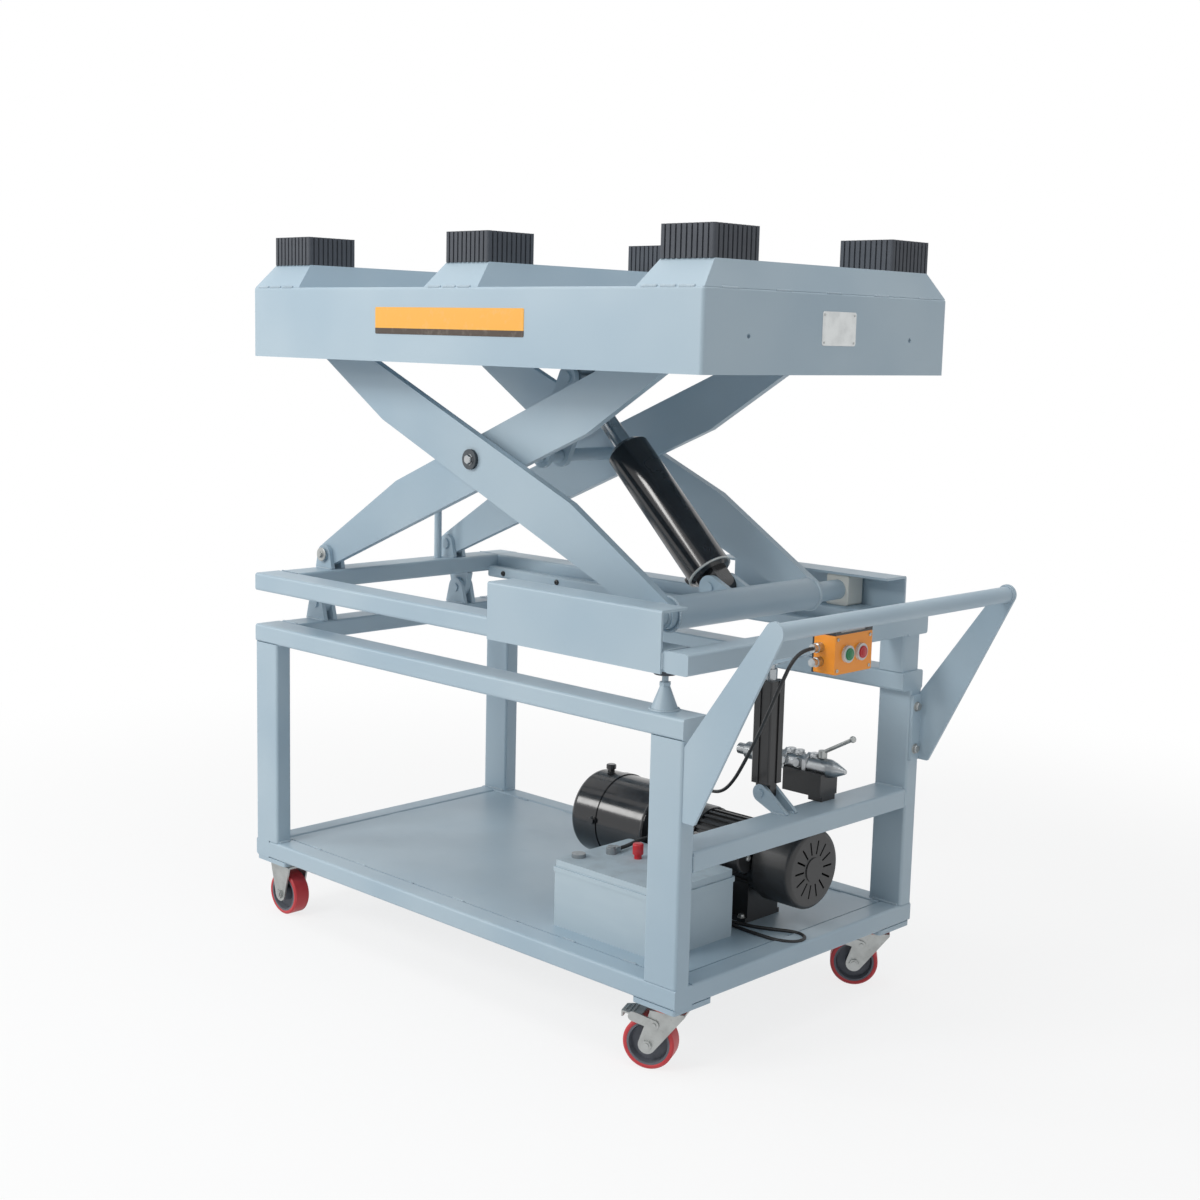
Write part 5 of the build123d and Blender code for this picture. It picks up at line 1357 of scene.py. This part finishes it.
@dataclass
class Wiring:
    """The three cables and the bare ends of the spare one."""

    gland: tuple[float, float, float] = (0.6948, -0.2065, 0.81186)
    deck: float = 0.1815
    lug: tuple[float, float, float] = (0.188, -0.151, 0.3205)

    def control_route(self) -> np.ndarray:
        """Route from the control box down to the pump."""
        steps = np.array([
            (0, 0, 0), (0, -26, 0), (-10, -44, -20), (-26, -46, -55), (-62, -28, -107), (-122, 16, -174),
            (-192, 66, -246), (-264, 120, -312), (-340, 178, -360), (-412, 226, -382),
        ]) / MILLIMETRES
        drop = np.array([(51, -13, 53), (16, -1, 40), (0, 0, 20), (0, 0, 0)]) / MILLIMETRES
        return np.concatenate([np.array(self.gland) + steps, np.array(PUMP_TOP) + drop])

    def spare_route(self) -> np.ndarray:
        """Route of the spare cable, which ends in a loop on the deck."""
        fall = np.array([
            (0, 0, 0), (0, -26, 0), (14, -46, -18), (44, -54, -52), (92, -48, -88),
        ]) / MILLIMETRES
        loop = np.array([
            (152, -36, 8), (220, -31, 0), (284, -34, 0), (328, -31, 0), (357, -8, 0), (350, 26, 0),
            (318, 36, 0), (278, 14, 0), (226, -10, 0), (170, -17, 0),
        ]) / MILLIMETRES
        floor = np.array([*PUMP_SIDE[:2], self.deck])
        return np.concatenate([np.array(PUMP_SIDE) + fall, floor + loop])

    def lead_route(self) -> np.ndarray:
        """Route of the battery lead."""
        steps = np.array([
            (0, 0, 0), (0, 26, 0), (-5, 64, 4), (-9, 104, 2), (-8, 130, -8), (-8, 156, -8),
        ]) / MILLIMETRES
        return np.array(self.lug) + steps

    def wire(self, name: str, start: np.ndarray, bend: Point, end: Point, look: Look) -> bpy.types.Object:
        """One bare wire on a curve of second degree.

        Args:
            name: the piece's name.
            start: where it leaves the sheath.
            bend: its middle control point, from the start.
            end: its tip, from the start.
            look: its finish.

        Returns:
            The piece.
        """
        count, thick, askew = 24, 0.0013, (0.13, 0.21, 0.97)
        t = np.linspace(0.0, 1.0, count)[:, None]
        path = start + 2 * t * (1 - t) * np.array(bend) + t**2 * np.array(end)
        radius = np.full(count, thick)
        radius[[0, -1]] = THIN
        return make_piece(name, swept(path, radius, askew), look, "trolley")

    def build(self) -> None:
        control = Cable(
            "control_cord", "control_cable", self.control_route(), 0.007, 0.833, "object", lay="hanging"
        )
        control.declare(control.build())
        spare = Cable("spare_cord", "spare_cable", self.spare_route(), 0.007, 0.657, "bare")
        inside_sheath = np.array([0.002, 0.0, 0.0])
        tip = spare.route[-1] + inside_sheath
        wires = [
            self.wire("white_end", tip, (-0.012, -0.003, 0.004), (-0.022, -0.008, 0.010), Look.WHITE_WIRE),
            self.wire("green_end", tip, (-0.014, 0.002, 0.006), (-0.034, 0.004, 0.022), Look.GREEN_WIRE),
            self.wire("red_end", tip, (-0.014, -0.002, 0.001), (-0.032, -0.012, 0.0), Look.RED_WIRE),
        ]
        spare.declare(spare.build(), *wires)
        lead = Cable("battery_cord", "battery_lead", self.lead_route(), 0.008, 0.158, "object")
        lead.declare(lead.build())


WHITE = (1.0, 1.0, 1.0)


@dataclass(frozen=True)
class Lamp:
    """Soft square lamp: its place, the point it faces, its side in metres, its watts and its colour."""

    name: str
    place: Point
    aim: Point
    size: float
    power: float
    tint: Colour = WHITE

    def build(self) -> None:
        """Make the lamp and turn it to the point it faces."""
        data = bpy.data.lights.new(self.name, "AREA")
        data.shape = "SQUARE"
        data.size = self.size
        data.energy = self.power
        data.color = self.tint
        lamp = bpy.data.objects.new(self.name, data)
        lamp.location = self.place
        lamp.rotation_euler = (Vector(self.aim) - Vector(self.place)).to_track_quat("-Z", "Y").to_euler()
        bpy.context.scene.collection.objects.link(lamp)


LAMPS = (
    Lamp("key_lamp", (-0.8, -4.4, 3.6), (-0.1, 0.0, 0.8), size=1.4, power=84.0, tint=(1.0, 0.985, 0.96)),
    Lamp("side_lamp", (-3.55, -3.5, 2.45), (-0.1, 0.0, 0.6), size=1.2, power=46.0, tint=(1.0, 0.99, 0.97)),
    Lamp("top_lamp", (0.2, -0.4, 5.2), (0.0, 0.0, 0.8), size=4.0, power=96.0),
    Lamp("fill_lamp", (4.4, -0.6, 2.6), (0.0, 0.0, 0.8), size=3.0, power=9.0, tint=(0.96, 0.98, 1.0)),
)


@dataclass
class Studio:
    """Floor, light and camera."""

    eye: tuple[float, float, float] = (2.5064, -2.6308, 1.3454)
    yaw: float = 43.910
    pitch: float = 8.635
    roll: float = 1.400
    focal: float = 51.862
    ambient: float = 0.37
    glow: float = 0.8

    def camera(self) -> None:
        """Camera at the photograph's view."""
        yaw, pitch, roll = np.radians([self.yaw, self.pitch, self.roll])
        ahead = np.array([-np.sin(yaw) * np.cos(pitch), np.cos(yaw) * np.cos(pitch), -np.sin(pitch)])
        level = np.array([np.cos(yaw), np.sin(yaw), 0.0])
        rise = np.cross(level, ahead)
        right = np.cos(roll) * level + np.sin(roll) * rise
        up = -np.sin(roll) * level + np.cos(roll) * rise
        data = bpy.data.cameras.new("photo_camera")
        data.sensor_width = 36.0
        data.sensor_fit = "HORIZONTAL"
        data.lens = self.focal
        data.clip_end = 100.0
        camera = bpy.data.objects.new("photo_camera", data)
        frame = Matrix.Identity(4)
        for column, vector in enumerate((right, up, -ahead)):
            for row in range(3):
                frame[row][column] = float(vector[row])
        frame.translation = Vector(self.eye)
        camera.matrix_world = frame
        bpy.context.scene.collection.objects.link(camera)
        bpy.context.scene.camera = camera

    @staticmethod
    def seen(tree: ShaderTree) -> Wire:
        """One where the camera, a gloss or glass sees the surface, else nought."""
        rays = ("Is Camera Ray", "Is Glossy Ray", "Is Transmission Ray")
        camera, gloss, glass = (tree.add("ShaderNodeLightPath", result=ray) for ray in rays)
        return camera.most(gloss).most(glass)

    def world(self) -> None:
        """Even pale surroundings, plain white where the camera, gloss and glass see them."""
        world = bpy.data.worlds.new("studio_world")
        bpy.context.scene.world = world
        world.use_nodes = True
        tree = ShaderTree(world)
        level = self.seen(tree) * (1.0 - self.ambient) + self.ambient
        tree.end(tree.add("ShaderNodeBackground", {}, {"Color": WHITE, "Strength": level}))

    def floor(self) -> None:
        """Wide pale floor that keeps a soft shadow near the object and fades to white further off."""
        mesh = bpy.data.meshes.new("floor")
        far, fade_start, fade_end = 30.0, 1.3, 3.2
        points = [(-far, -far, 0.0), (far, -far, 0.0), (far, far, 0.0), (-far, far, 0.0)]
        mesh.from_pydata(points, [], [(0, 1, 2, 3)])
        tree = ShaderTree.named("pale_floor")
        distance = tree.add("ShaderNodeVectorMath", {"operation": "LENGTH"}, {0: tree.place}, "Value")
        fade = distance.smooth(fade_start, fade_end)
        share = self.seen(tree) * (fade * (1.0 - self.glow) + self.glow)
        shade = tree.add("ShaderNodeBsdfDiffuse", {}, {"Color": (0.86, 0.87, 0.88)})
        glow = tree.add("ShaderNodeEmission", {}, {"Color": WHITE})
        tree.end(tree.add("ShaderNodeMixShader", {}, {0: share, 1: shade, 2: glow}))
        mesh.materials.append(tree.owner)
        floor = bpy.data.objects.new("floor", mesh)
        bpy.context.scene.collection.objects.link(floor)

    def build(self) -> None:
        """Make the studio."""
        bpy.context.scene.view_settings.view_transform = "Standard"
        self.camera()
        self.world()
        self.floor()
        for lamp in LAMPS:
            lamp.build()


def main() -> None:
    """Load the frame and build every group."""
    logging.basicConfig(level=logging.INFO, format="%(name)s %(message)s")
    for item in list(bpy.data.objects):
        bpy.data.objects.remove(item)
    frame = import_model()
    nodes = frame["nodes"]
    Studio().build()
    Wiring().build()
    for group in (Trolley, ControlStation, PowerPack, TiltRing, Scissor, Platform, Casters):
        group(nodes).build()
        LOG.info("%s done", group.__name__)


if __name__ == "__main__":
    main()
